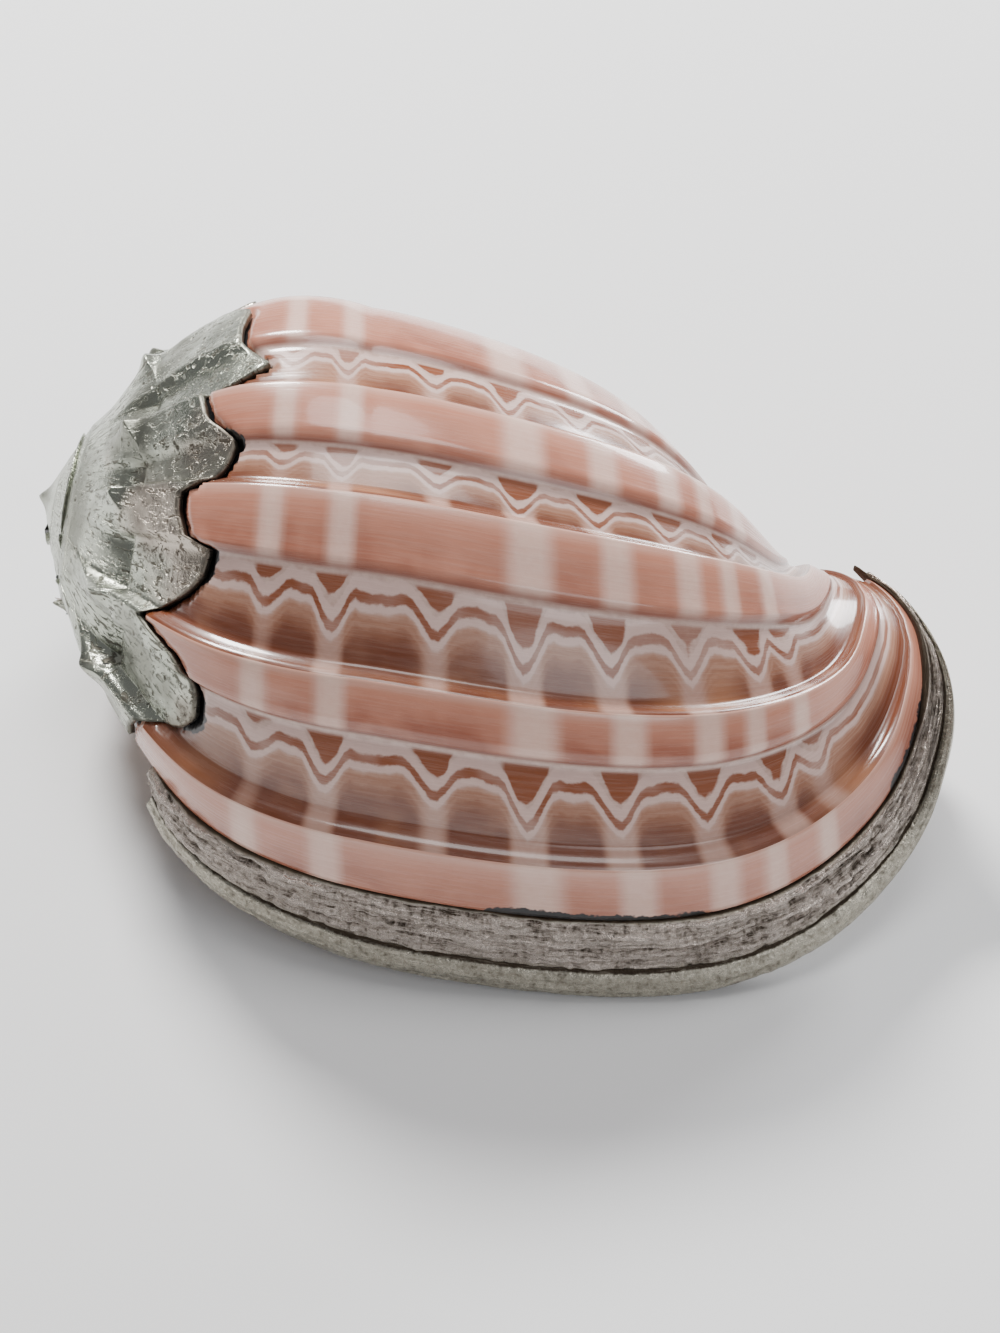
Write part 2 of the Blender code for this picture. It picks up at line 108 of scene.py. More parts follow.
CAP_EDGE = 0.345
CAP_LOBE = 0.034
BAND_START = -15.4
CAP_LIP_S = 0.297
BEHIND_LIP_S = 0.27
CAP_UNDERSIDE = -338.0
SILVER_PROUD = 0.3
BAND_RUN = (0.325, 0.985)
HOLLOW_DEPTH = 225.0
CANAL_CLOSES = 0.45
SHELL_END_S = 0.96
FOLD_S = 0.785
FRONT_SHORT = 0.25
WALL_END_S = 0.88
LIP_SHEAR = 12.0

# places on the growth line where the colour changes, in s: pale spiral bands and their half
# widths in mm, and the points where the wavy lines dip towards the lip and the dips' sizes
PALE_BANDS = ((0.408, 1.8), (0.473, 2.0), (0.580, 2.9), (0.612, 2.1), (0.642, 1.8), (0.664, 1.4),
              (0.693, 1.4))
DIPS = ((0.408, 0.55), (0.468, 1.0), (0.542, 0.8), (0.578, 1.4), (0.608, 1.2), (0.640, 1.0),
        (0.677, 1.1), (0.705, 0.7))
DIP_HALF_WIDTH = 3.0
BLOCK_SEED = 308.0


def colour_property(name, description, value):
    """A colour property."""
    return FloatVectorProperty(name=name, description=description, subtype="COLOR", size=3,
                               default=value, min=0.0, max=1.0)


class ShellSettings(bpy.types.PropertyGroup):
    """Sizes and colours of the shell itself."""

    wall: FloatProperty(name="Wall", description="Thickness of the shell's wall at the belly",
                        default=1.6, min=0.5, max=4.0)
    rib_height: FloatProperty(name="Rib height", description="Crest of a rib over its valley",
                              default=2.0, min=0.0, max=3.0)
    column_step: FloatProperty(name="Column step", description="Degrees between mesh columns",
                               default=1.3, min=0.5, max=6.0)
    row_count: IntProperty(name="Rows", description="Mesh rows from suture to canal",
                           default=170, min=40, max=400)
    rib_colour: colour_property("Rib", "Salmon of the ribs", (0.56, 0.225, 0.145))
    rib_dark: colour_property("Rib blocks", "Dark blocks on the ribs", (0.32, 0.095, 0.052))
    pale: colour_property("Pale bands", "Pinkish white", (0.80, 0.56, 0.47))
    ground: colour_property("Ground", "Between the ribs", (0.50, 0.33, 0.28))
    brown: colour_property("Brown lines", "Wavy lines", (0.23, 0.060, 0.018))
    block: colour_property("Brown blocks", "Blocks behind a rib", (0.15, 0.034, 0.009))


class SilverSettings(bpy.types.PropertyGroup):
    """Sizes and colours of the silver."""

    skin: FloatProperty(name="Skin", description="Thickness of the silver on the spire",
                        default=0.75, min=0.2, max=2.0)
    gap: FloatProperty(name="Gap", description="Clear gap between silver and shell",
                       default=0.30, min=0.05, max=1.0)
    bark: FloatProperty(name="Bark", description="Depth of the rough relief on the lip band",
                        default=0.34, min=0.0, max=1.0)
    silver: colour_property("Silver", "Bright silver", (0.42, 0.44, 0.37))
    # also the colour of the painted dark reflection in the cap's mottled clouds
    tarnish_and_dark_reflection: colour_property("Tarnish", "Dark hollows and pits", (0.06, 0.045, 0.032))


def smooth(low, high, value):
    """0 at low, 1 at high, with soft ends: t squared times three minus two t."""
    t = np.clip((np.asarray(value, float) - low) / (high - low), 0.0, 1.0)
    return t * t * (3.0 - 2.0 * t)


class Profile:
    """Natural cubic spline through evenly spaced values, read at places from 0 to 1."""

    def __init__(self, values):
        self.values = np.array(values, float)
        count = len(values)
        system = 4.0 * np.eye(count) + np.eye(count, k=1) + np.eye(count, k=-1)
        system[0] = np.eye(count)[0]
        system[-1] = np.eye(count)[-1]
        pull = np.zeros(count)
        pull[1:-1] = 6.0 * (self.values[2:] - 2.0 * self.values[1:-1] + self.values[:-2])
        self.bend = np.linalg.solve(system, pull)

    def at(self, where):
        place = np.clip(where, 0.0, 1.0) * (len(self.values) - 1)
        left = np.minimum(place.astype(int), len(self.values) - 2)
        b = place - left
        a = 1.0 - b
        cubic = ((a ** 3 - a) * self.bend[left] + (b ** 3 - b) * self.bend[left + 1]) / 6.0
        return a * self.values[left] + b * self.values[left + 1] + cubic


LIP_AXIAL = Profile([station[0] for station in LIP_STATIONS])
LIP_RADIAL = Profile([station[1] for station in LIP_STATIONS])
INNER_AXIAL = Profile([station[0] for station in INNER_STATIONS])
INNER_RADIAL = Profile([station[1] for station in INNER_STATIONS])


def growth(turns, s, young):
    """Growth factor: old rate to the power of turns, bent to the young rate near the lip."""
    old = math.log(OLD_GROWTH)
    rate = np.interp(s, GROWTH_KNOTS, np.log(young))
    recent = -YOUNG_TURNS * np.tanh(-turns / YOUNG_TURNS)
    return np.exp(old * turns + (rate - old) * recent)


def lean(s):
    """Degrees by which the growth line runs behind theta: a power of s past LEAN_START."""
    back = np.clip((s - LEAN_START) / (1.0 - LEAN_START), 0.0, 1.0) ** LEAN_POWER
    return -LEAN * back + LEAN_TILT * (s - 0.5)


def crest_surface(theta, s):
    """Surface through the ribs' crests: the growth line scaled by growth and turned by theta."""
    theta, s = np.broadcast_arrays(np.asarray(theta, float), np.asarray(s, float))
    turns = theta / FULL_TURN
    axial = LIP_AXIAL.at(s) * growth(turns, s, YOUNG_HEIGHT)
    radial = LIP_RADIAL.at(s) * growth(turns, s, YOUNG_RADIUS)
    older = OLD_GROWTH ** np.minimum(turns + 1.0, 0.0)
    front = smooth(*FRONT_ROWS, s)
    begin = INNER_BLEND[0] + FRONT_BLEND[0] * front
    end = INNER_BLEND[1] + FRONT_BLEND[1] * front
    inner = smooth(0.0, 1.0, (theta - begin) / (end - begin)) * smooth(*INNER_ROWS, s)
    axial = axial * (1.0 - inner) + INNER_AXIAL.at(s) * older * inner
    radial = radial * (1.0 - inner) + INNER_RADIAL.at(s) * older * inner
    angle = np.radians(theta + lean(s))
    return np.stack([axial, radial * np.cos(angle), radial * np.sin(angle)], -1)


def normal_out(theta, s):
    """Unit normal of crest_surface: the cross product of its two small steps."""
    step = 1e-3
    along = crest_surface(theta, np.minimum(s + step, 1.0)) - crest_surface(theta, np.maximum(s - step, 0.0))
    around = crest_surface(theta + 0.1, s) - crest_surface(theta - 0.1, s)
    cross = np.cross(around, along)
    return cross / np.linalg.norm(cross, axis=-1, keepdims=True)


def rib_list():
    """Crest angle and width of every rib, from the lip back over four turns."""
    ribs = list(LAST_RIBS)
    crest = LAST_RIBS[-1][0] - RIB_STEP
    while crest > -4.0 * FULL_TURN:
        ribs.append((crest, RIB_WIDTH))
        crest -= RIB_STEP
    return ribs


RIBS = rib_list()


def rib_shape(theta):
    """1 on a rib's crest: a crisp rise on its old side, a slow fall over its face, then a step."""
    theta = np.asarray(theta, float)
    height = np.zeros(theta.shape)
    for crest, width in RIBS:
        x = (theta - crest) / width
        rise = smooth(*RIB_RISE, x)
        face = 1.0 - RIB_FACE_DROP * smooth(*RIB_FACE, x)
        fall = 1.0 - smooth(*RIB_STEP_DOWN, x)
        height = np.maximum(height, rise * face * fall)
    return height


def rib_phase(theta):
    """Goes up by one from rib to rib, -k at the crest of rib k, and by a half over a rib's body."""
    knots = []
    values = []
    for index, (crest, width) in enumerate(RIBS):
        knots += [crest + width, crest]
        values += [0.5 - index, -float(index)]
    return np.interp(theta, knots[::-1], values[::-1])


def rib_depth(theta, s, height):
    """How far the outside lies under the crest surface: the rib's height where there is no rib."""
    theta, s = np.broadcast_arrays(np.asarray(theta, float), np.asarray(s, float))
    size = growth(theta / FULL_TURN, 0.5, YOUNG_RADIUS) * smooth(*APEX_PLAIN, theta)
    left, over = LOW_AT_SUTURE
    lost, before = LOW_AT_FRONT
    ends = (left + (1.0 - left) * smooth(*over, s)) * (1.0 - lost * smooth(*before, s))
    spire = (theta < -FULL_TURN - 1e-6) & (s < SUTURE_S + 0.01)
    young = smooth(*SPIRE_SMOOTH, theta)
    ribs = np.maximum(smooth(*CALLUS_EDGE, theta), spire * young) * rib_shape(theta)
    return height * size * ends * (1.0 - ribs)


def spine_shift(theta, s):
    """Moves the shoulder along the axis: a bell in s times the rib's shape."""
    theta, s = np.broadcast_arrays(np.asarray(theta, float), np.asarray(s, float))
    size = growth(theta / FULL_TURN, 0.2, YOUNG_RADIUS) * smooth(*SPIRE_SMOOTH, theta)
    at_shoulder = np.exp(-((s - SHOULDER_S) / SHOULDER_WIDTH) ** 2)
    shift = np.zeros(theta.shape + (3,))
    shift[..., 0] = SPINE * size * at_shoulder * (0.55 - rib_shape(theta) ** 3)
    return shift


def outside(theta, s, depth=0.0):
    """The ribbed outside, sunk by depth along the normal."""
    height = bpy.context.scene.shell_settings.rib_height
    sunk = rib_depth(theta, s, height) + depth
    return crest_surface(theta, s) + spine_shift(theta, s) - normal_out(theta, s) * sunk[..., None]


def welded(theta, s, depth=0.0):
    """The outside with its suture edge pulled onto the whorl before, fading with s squared."""
    theta, s = np.broadcast_arrays(np.asarray(theta, float), np.asarray(s, float))
    here = outside(theta, s, depth)
    zero = np.zeros(theta.shape)
    gap = outside(theta - FULL_TURN, zero + SUTURE_S, depth) - outside(theta, zero, depth)
    fade = np.clip(1.0 - s / SUTURE_S, 0.0, 1.0) ** 2
    return here + gap * fade[..., None]


# the cap's edge as it is cut in the photograph: theta and s, from the older ribs to the lip
CAP_OUTLINE = ((-180.0, 0.345), (-160.0, 0.335), (-152.0, 0.362), (-137.0, 0.372), (-132.5, 0.335),
               (-127.5, 0.362), (-120.0, 0.355), (-113.8, 0.356), (-106.0, 0.385), (-99.5, 0.330),
               (-91.5, 0.340), (-86.5, 0.365), (-81.0, 0.357), (-76.5, 0.340), (-75.0, 0.328),
               (-71.0, 0.328), (-66.5, 0.335), (-65.0, 0.355), (-59.3, 0.350), (-54.8, 0.335),
               (-48.0, 0.303), (-43.5, 0.343), (-37.8, 0.357), (-33.0, 0.357), (-29.0, 0.345),
               (-25.0, 0.313), (-19.0, 0.300))


def cap_edge(theta):
    """The cap's edge: cusps and half sines round the back, the photograph's outline near the lip."""
    theta = np.asarray(theta, float)
    drop = np.zeros(theta.shape)
    crests = [0.0] + [rib[0] for rib in RIBS if rib[0] > -FULL_TURN - 30.0]
    for young, old in zip(crests[:-1], crests[1:]):
        x = np.clip((theta - old) / (young - old), 0.0, 1.0)
        inside = (theta >= old) & (theta < young)
        drop = np.where(inside, np.sin(np.pi * x ** 0.8), drop)
    edge = CAP_EDGE - CAP_LOBE * 0.55 + CAP_LOBE * drop
    outline = np.array(CAP_OUTLINE)
    seen = smooth(-180.0, -165.0, theta)
    edge = edge * (1.0 - seen) + np.interp(theta, outline[:, 0], outline[:, 1]) * seen
    behind_band = smooth(BAND_START - 4.0, BAND_START + 2.0, theta)
    return edge * (1.0 - behind_band) + CAP_LIP_S * behind_band


def fold_thin(s):
    """Depths are less at the suture and where the growth line folds round the canal."""
    return (0.3 + 0.7 * smooth(0.04, 0.17, s)) * (1.0 - 0.72 * smooth(0.78, 0.93, s))


def silver_depth(theta, s):
    """How far the shell is sunk to make room for the silver over it."""
    silver = bpy.context.scene.silver_settings
    edge = cap_edge(theta)
    under_cap = 1.0 - smooth(edge + 0.003, edge + 0.0065, s)
    proud = SILVER_PROUD * (1.0 - smooth(edge, 0.48, s))
    deeper = silver.gap * (1.0 - smooth(0.15, SUTURE_S + 0.02, s))
    return (silver.skin + silver.gap + deeper) * under_cap + proud * (1.0 - under_cap)


def lip_angle(s):
    """Where the shell ends: a gap behind the silver band."""
    gap = np.degrees(bpy.context.scene.silver_settings.gap / LIP_RADIAL.at(s))
    return BAND_START - gap * (1.0 + smooth(0.75, 0.95, s))


def to_lip(theta, s):
    """Shears the columns near the lip so that the last one lies on lip_angle."""
    free = BAND_START - LIP_SHEAR
    part = np.maximum(theta - free, 0.0) / LIP_SHEAR
    return np.minimum(theta, free) + part * (lip_angle(s) - free)


def inner_wall(theta, s):
    """Inside of the wall over the hollow: the crest surface sunk by ribs and wall."""
    settings = bpy.context.scene.shell_settings
    silver = bpy.context.scene.silver_settings
    theta, s = np.broadcast_arrays(np.asarray(theta, float), np.asarray(s, float))
    wall = settings.wall * (1.0 - 0.4 * smooth(-60.0, -HOLLOW_DEPTH, theta))
    ribs = settings.rib_height * growth(theta / FULL_TURN, 0.5, YOUNG_RADIUS)
    shoulder = (silver.skin + silver.gap + 1.2) * (1.0 - smooth(0.33, 0.42, s))
    depth = (ribs + wall) * fold_thin(s) + shoulder
    return crest_surface(theta, s) - normal_out(theta, s) * depth[..., None]


def lip_length():
    """Arc length in mm along the growth line at the lip, for places s from 0 to 1."""
    s = np.linspace(0.0, 1.0, 600)
    steps = np.hypot(np.diff(LIP_AXIAL.at(s)), np.diff(LIP_RADIAL.at(s)))
    return s, np.concatenate([[0.0], np.cumsum(steps)])


LIP_S, LIP_MM = lip_length()


def mm_along(s):
    return np.interp(s, LIP_S, LIP_MM)


def s_along(mm):
    return np.interp(mm, LIP_MM, LIP_S)


def dip_profile(mm):
    """Dips of the wavy lines, V-shaped with soft corners, and low waves between them."""
    dips = np.zeros(np.shape(mm))
    for place, size in DIPS:
        near = np.clip(1.0 - np.abs(mm - mm_along(place)) / DIP_HALF_WIDTH, 0.0, 1.0)
        dips = np.maximum(dips, size * (0.3 * near + 0.7 * smooth(0.0, 1.0, near)))
    return dips + 0.05 * np.sin(mm * 0.9) + 0.03 * np.sin(mm * 2.3 + 1.0)


def pale_profile(mm):
    """1 in the middle of a pale spiral band, with soft sides."""
    pale = np.zeros(np.shape(mm))
    for place, half in PALE_BANDS:
        pale = np.maximum(pale, 1.0 - smooth(0.35 * half, 1.25 * half, np.abs(mm - mm_along(place))))
    return pale


def lattice(x, y, seed):
    """Smooth noise from -1 to 1: hashed values on a unit grid, blended with soft steps."""
    cell_x = np.floor(x)
    cell_y = np.floor(y)
    part_x = x - cell_x
    part_y = y - cell_y
    part_x = part_x * part_x * (3.0 - 2.0 * part_x)
    part_y = part_y * part_y * (3.0 - 2.0 * part_y)

    def corner(dx, dy):
        mixed = np.sin((cell_x + dx) * 127.1 + (cell_y + dy) * 311.7 + seed * 74.7) * 43758.5453
        return 2.0 * (mixed - np.floor(mixed)) - 1.0

    low = corner(0, 0) * (1.0 - part_x) + corner(1, 0) * part_x
    high = corner(0, 1) * (1.0 - part_x) + corner(1, 1) * part_x
    return low * (1.0 - part_y) + high * part_y


def rested(points):
    """Millimetres about the coiling axis to metres on the table."""
    turn = Matrix.Rotation(math.radians(PITCH), 3, "Y") @ Matrix.Rotation(math.radians(180.0 + ROLL), 3, "X")
    return (np.asarray(points) @ np.array(turn).T + np.array(SET_DOWN)) * 0.001


class Sheets:
    """Collects grids of points, two triples of numbers for each point, and faces with materials."""

    def __init__(self):
        self.points = []
        self.growth = []
        self.marks = []
        self.faces = []
        self.materials = []
        self.count = 0

    def grid(self, points, growth_data, marks):
        """Adds a grid of points and returns its grid of indices."""
        shape = points.shape[:2]
        index = np.arange(self.count, self.count + shape[0] * shape[1]).reshape(shape)
        self.points.append(points.reshape(-1, 3))
        self.growth.append(np.broadcast_to(growth_data, points.shape).reshape(-1, 3))
        self.marks.append(np.broadcast_to(marks, points.shape).reshape(-1, 3))
        self.count += shape[0] * shape[1]
        return index

    def at(self, index):
        """Points of a run or grid of indices."""
        return np.concatenate(self.points)[index]

    def quads(self, index, material=0):
        corners = [index[:-1, :-1], index[:-1, 1:], index[1:, 1:], index[1:, :-1]]
        faces = np.stack([corner.ravel() for corner in corners], -1)
        self.faces.extend(faces.tolist())
        self.materials.extend([material] * len(faces))

    def strip(self, first, second, material=0):
        """Triangles between two runs of indices of any lengths that go the same way."""
        a = 0
        b = 0
        while a < len(first) - 1 or b < len(second) - 1:
            step_first = (a + 1) / max(len(first) - 1, 1) <= (b + 1) / max(len(second) - 1, 1)
            if (step_first and a < len(first) - 1) or b == len(second) - 1:
                face = [first[a], first[a + 1], second[b]]
                a += 1
            else:
                face = [first[a], second[b + 1], second[b]]
                b += 1
            if len(set(face)) == 3:
                self.faces.append([int(corner) for corner in face])
                self.materials.append(material)

    def fan(self, loop, point, data, material=0):
        centre = self.grid(np.array(point, float).reshape(1, 1, 3), np.array(data, float), 0.0)[0, 0]
        self.strip(loop, [centre], material)

    def build(self, name, materials):
        """Mesh object at the origin, in metres, smooth-shaded, faces outwards."""
        mesh = bpy.data.meshes.new(name)
        mesh.from_pydata(rested(np.concatenate(self.points)).tolist(), [], self.faces)
        for label, rows in (("growth", self.growth), ("marks", self.marks)):
            data = mesh.attributes.new(label, "FLOAT_VECTOR", "POINT")
            data.data.foreach_set("vector", np.concatenate(rows).astype(np.float32).ravel())
        mesh.polygons.foreach_set("material_index", self.materials)
        for material in materials:
            mesh.materials.append(material)
        form = bmesh.new()
        form.from_mesh(mesh)
        bmesh.ops.recalc_face_normals(form, faces=form.faces)
        form.to_mesh(mesh)
        form.free()
        mesh.shade_smooth()
        piece = bpy.data.objects.new(name, mesh)
        bpy.context.scene.collection.objects.link(piece)
        return piece


class Number:
    """A number that varies over a surface. Its operators add Math nodes to the material."""

    def __init__(self, paint, socket):
        self.paint = paint
        self.socket = socket

    def math(self, operation, *values, clamp=False):
        settings = {"operation": operation, "use_clamp": clamp}
        node = self.paint.node("ShaderNodeMath", settings, dict(enumerate([self, *values])))
        return Number(self.paint, node.outputs[0])

    def __add__(self, other):
        return self.math("ADD", other)

    def __mul__(self, other):
        return self.math("MULTIPLY", other)

    def __sub__(self, other):
        return self.math("SUBTRACT", other)

    def __rsub__(self, other):
        return (self * -1.0) + other

    __radd__ = __add__
    __rmul__ = __mul__

    def ramp(self, low, high):
        """0 at low, 1 at high, with soft ends."""
        settings = {"interpolation_type": "SMOOTHSTEP", "clamp": True}
        inputs = {"Value": self, "From Min": low, "From Max": high}
        return Number(self.paint, self.paint.node("ShaderNodeMapRange", settings, inputs).outputs[0])

    def near(self, place, half, soft):
        """1 within half of a place, 0 beyond half plus soft."""
        return 1.0 - (self - place).math("ABSOLUTE").ramp(half, half + soft)


class Paint:
    """A material and the one method that adds nodes to it."""

    def __init__(self, name, **constants):
        self.material = bpy.data.materials.new(name)
        self.material.use_nodes = True
        self.tree = self.material.node_tree
        self.shader = self.tree.nodes["Principled BSDF"]
        for label, value in constants.items():
            self.shader.inputs[label.replace("_", " ").title().replace("Ior", "IOR")].default_value = value

    def node(self, kind, settings=None, inputs=None):
        node = self.tree.nodes.new(kind)
        for label, value in (settings or {}).items():
            setattr(node, label, value)
        for label, value in (inputs or {}).items():
            self.feed(node.inputs[label], value)
        return node

    def feed(self, socket, value):
        if isinstance(value, Number):
            value = value.socket
        if isinstance(value, bpy.types.NodeSocket):
            self.tree.links.new(value, socket)
        else:
            socket.default_value = value

    def attribute(self, label):
        """The three numbers of a piece's own attribute."""
        node = self.node("ShaderNodeAttribute", {"attribute_name": label})
        split = self.node("ShaderNodeSeparateXYZ", {}, {0: node.outputs["Vector"]})
        return [Number(self, split.outputs[axis]) for axis in range(3)]

    def place(self, x, y, z=0.0):
        """A vector made of numbers."""
        return self.node("ShaderNodeCombineXYZ", {}, {0: x, 1: y, 2: z}).outputs[0]

    def object_place(self):
        return self.node("ShaderNodeTexCoord").outputs["Object"]

    def noise(self, vector, scale, detail=3.0, rough=0.55, warp=0.0):
        inputs = {"Vector": vector, "Scale": scale, "Detail": detail, "Roughness": rough, "Distortion": warp}
        return Number(self, self.node("ShaderNodeTexNoise", {}, inputs).outputs[0])

    def cells(self, vector, scale):
        inputs = {"Vector": vector, "Scale": scale}
        return Number(self, self.node("ShaderNodeTexVoronoi", {}, inputs).outputs["Distance"])

    def mix(self, factor, first, second):
        """Colour between first and second."""
        node = self.node("ShaderNodeMix", {"data_type": "RGBA"})
        for socket, value in ((node.inputs[0], factor), (node.inputs[6], first), (node.inputs[7], second)):
            if not isinstance(value, (Number, bpy.types.NodeSocket)):
                value = (*value, 1.0)
            self.feed(socket, value)
        return node.outputs[2]

    def relief(self, height, strength, distance):
        """Normal from a height, a strength, and the height's distance in metres."""
        inputs = {"Height": height, "Strength": strength, "Distance": distance}
        return self.node("ShaderNodeBump", {}, inputs).outputs[0]

    def finish(self, **links):
        for label, value in links.items():
            self.feed(self.shader.inputs[label.replace("_", " ").title()], value)
        return self.material


# colours that no setting holds
# painted highlight: the pale line along the ribs' crests
RIB_CREST_HIGHLIGHT = (0.80, 0.58, 0.48)
RIB_SHADOW = (0.17, 0.055, 0.035)
PALE_GROUND = (0.60, 0.42, 0.36)
PALE_LINE = (0.66, 0.46, 0.41)
PALE_COLUMN = (0.54, 0.34, 0.28)
TAN = (0.42, 0.22, 0.15)
TAN_NEAR_RIB = (0.40, 0.16, 0.07)
TAN_RING = (0.27, 0.10, 0.045)
CHALK = (0.80, 0.66, 0.60)
CALLUS = (0.62, 0.45, 0.35)
LACQUER = (0.006, 0.006, 0.007)
PORCELAIN = (0.74, 0.60, 0.50)
PINK_CLOUD = (0.62, 0.40, 0.30)
DEEP_LINING = (0.45, 0.26, 0.18)

# the wavy pattern between two ribs: 0 behind the older rib, 1 at the crest of the next; a line or
# band has a middle and a half width
DIP_DEPTH = 0.34
UPPER_PALE = (0.075, 0.05)
BROWN_LINE = (0.195, 0.035)
LOWER_PALE = (0.29, 0.024)
BLOCKS = (0.31, 0.37)
RING_COUNT = 62.0


def rib_paint(paint, settings, part, slow, ragged, pale, block):
    """Ribs: salmon, darker blocks on the lower side, pale bands, a painted highlight along the crest and a
    painted shadow line.
    """
    low_side = part.ramp(0.05, 0.42)
    rib_block = block * (1.0 - pale) * (0.12 + low_side * 0.75) * (0.35 + slow.ramp(0.3, 0.65))
    rib = paint.mix(rib_block, settings.rib_colour, settings.rib_dark)
    rib = paint.mix(pale * (0.55 + ragged * 0.35), rib, settings.pale)
    # painted highlight: a pale line along each rib's crest, where the light catches it
    rib = paint.mix((1.0 - part.ramp(0.01, 0.10)) * 0.30, rib, RIB_CREST_HIGHLIGHT)
    return paint.mix(part.ramp(0.44, 0.495) * 0.7, rib, RIB_SHADOW)


def blocks_paint(paint, settings, line_at, dip, strong, slow, ragged):
    """Tan with fine rings, dark blocks towards the next rib, and a pale column under each dip."""
    tan = paint.mix(line_at.ramp(0.3, 0.95), TAN, TAN_NEAR_RIB)
    rings = (line_at * RING_COUNT + ragged * 3.0).math("SINE") * 0.5 + 0.5
    tan = paint.mix(rings * 0.4 * (1.0 - line_at.ramp(0.5, 0.75)), tan, TAN_RING)
    column = dip.ramp(0.25, 0.85) * 0.8
    deep = line_at.ramp(0.34, 0.68) * strong * (1.0 - column) * (0.65 + slow.ramp(0.25, 0.55) * 0.35)
    tan = paint.mix(deep, tan, settings.block)
    return paint.mix(column * 0.75, tan, PALE_COLUMN)


def between_paint(paint, settings, across, dip, block, slow, ragged):
    """Between ribs: brown spots, a pale band, a brown line and a pale line, all in V-shaped dips."""
    line_at = across - dip * DIP_DEPTH + (ragged - 0.5) * 0.06 + (slow - 0.5) * 0.08 - 0.04
    strong = block.ramp(0.10, 0.6)
    ground = paint.mix(ragged.ramp(0.3, 0.75), settings.ground, PALE_GROUND)
    tan = blocks_paint(paint, settings, line_at, dip, strong, slow, ragged)
    between = paint.mix(line_at.ramp(*BLOCKS), ground, tan)
    band = line_at.near(*UPPER_PALE, 0.03).math("MAXIMUM", line_at.near(*LOWER_PALE, 0.03))
    between = paint.mix(band * 0.7, between, PALE_LINE)
    faint = (0.6 + slow.ramp(0.3, 0.6) * 0.4) * (0.5 + strong * 0.5)
    between = paint.mix(line_at.near(*BROWN_LINE, 0.035) * faint, between, settings.brown)
    spot = (1.0 - (line_at + (slow - 0.5) * 0.5 + 0.05).ramp(-0.02, 0.03)) * across.ramp(0.03, 0.08)
    spot = spot * dip.ramp(0.05, 0.3).math("MAXIMUM", slow.ramp(0.46, 0.58) * 0.8)
    return paint.mix(spot * (0.6 + strong * 0.4), between, settings.brown)


def lacquer_mask(paint, cap_gap, band_gap):
    """1 under the black lacquer: within a ragged distance of the cap or of the lip band."""
    jagged = paint.noise(paint.object_place(), 900.0, 2.0, 0.7) - 0.5
    by_cap = 1.0 - (cap_gap - jagged * 1.6).ramp(-0.12, 0.12)
    return by_cap.math("MAXIMUM", 1.0 - (band_gap - jagged * 1.2).ramp(-0.12, 0.12))


def shell_paint(settings):
    """Outside of the shell: ribs in salmon blocks, wavy brown lines and brown blocks between."""
    paint = Paint("shell_colours", coat_weight=0.55, coat_roughness=0.08, ior=1.5)
    phase, mm, theta = paint.attribute("growth")
    dip, pale, block = paint.attribute("marks")
    cap_gap, band_gap, callus = paint.attribute("edges")
    place = paint.place(mm, theta * 0.7)
    slow = paint.noise(place, 0.16, 2.0)
    ragged = paint.noise(place, 1.1, 3.0, 0.6)
    fine = paint.noise(paint.place(mm * 0.12, theta * 1.6), 1.0, 3.0, 0.6)

    part = phase.math("FRACT")
    on_rib = 1.0 - part.ramp(0.485, 0.515)
    rib = rib_paint(paint, settings, part, slow, ragged, pale, block)
    between = between_paint(paint, settings, (part - 0.5) * 2.0, dip, block, slow, ragged)
    colour = paint.mix(on_rib, between, rib)
    colour = paint.mix((fine - 0.5) * 0.18 + 0.03, colour, CHALK)
    lacquer = lacquer_mask(paint, cap_gap, band_gap)
    colour = paint.mix(lacquer, paint.mix(callus, colour, CALLUS), LACQUER)
    return paint.finish(base_color=colour, roughness=0.20 + fine * 0.14 + lacquer * 0.2,
                        normal=paint.relief(fine * 0.05 + ragged * 0.02, 0.35, 0.001))


def lining_paint():
    """Inside of the aperture: porcelain, pinkish brown deeper in."""
    paint = Paint("shell_lining", coat_weight=0.5, coat_roughness=0.1)
    mm, theta = paint.attribute("growth")[1:]
    clouds = paint.noise(paint.place(mm, theta * 0.5), 0.10, 3.0)
    deep = 1.0 - theta.ramp(-160.0, -10.0)
    colour = paint.mix(clouds.ramp(0.4, 0.7) * 0.5, PORCELAIN, PINK_CLOUD)
    colour = paint.mix(deep * 0.6, colour, DEEP_LINING)
    return paint.finish(base_color=colour, roughness=0.18 + clouds * 0.15)


# mesh columns at a rib, as parts of its width from the crest, and the least step in degrees
RIB_COLUMNS = (-0.24, -0.16, -0.08, 0.0, 0.06, 0.72, 0.85, 1.0, 1.1)
LEAST_STEP = 0.35


def shell_columns(step):
    """Angles of one turn: an even step, with a close set of columns over each rib's steps."""
    start = BAND_START - FULL_TURN
    angles = list(np.arange(start, BAND_START - step * 0.5, step)) + [BAND_START]
    for crest, width in RIBS:
        if start < crest - width and crest + 1.2 * width < BAND_START + 6.0:
            angles += [crest + width * part for part in RIB_COLUMNS]
    angles = sorted(angle for angle in angles if start <= angle <= BAND_START)
    kept = [angles[0]]
    for angle in angles[1:-1]:
        if angle - kept[-1] > LEAST_STEP and BAND_START - angle > LEAST_STEP:
            kept.append(angle)
    return np.array(kept + [BAND_START])


def shell_rows(count):
    """Places along the growth line, even in mm, with rows at the suture and at the wall's end."""
    s = s_along(np.linspace(0.0, mm_along(SHELL_END_S), count))
    for fixed in (SUTURE_S, WALL_END_S):
        s[np.argmin(np.abs(s - fixed))] = fixed
    return s


def growth_data(theta, s):
    theta, s = np.broadcast_arrays(theta, s)
    return np.stack([rib_phase(theta), mm_along(s), theta], -1)


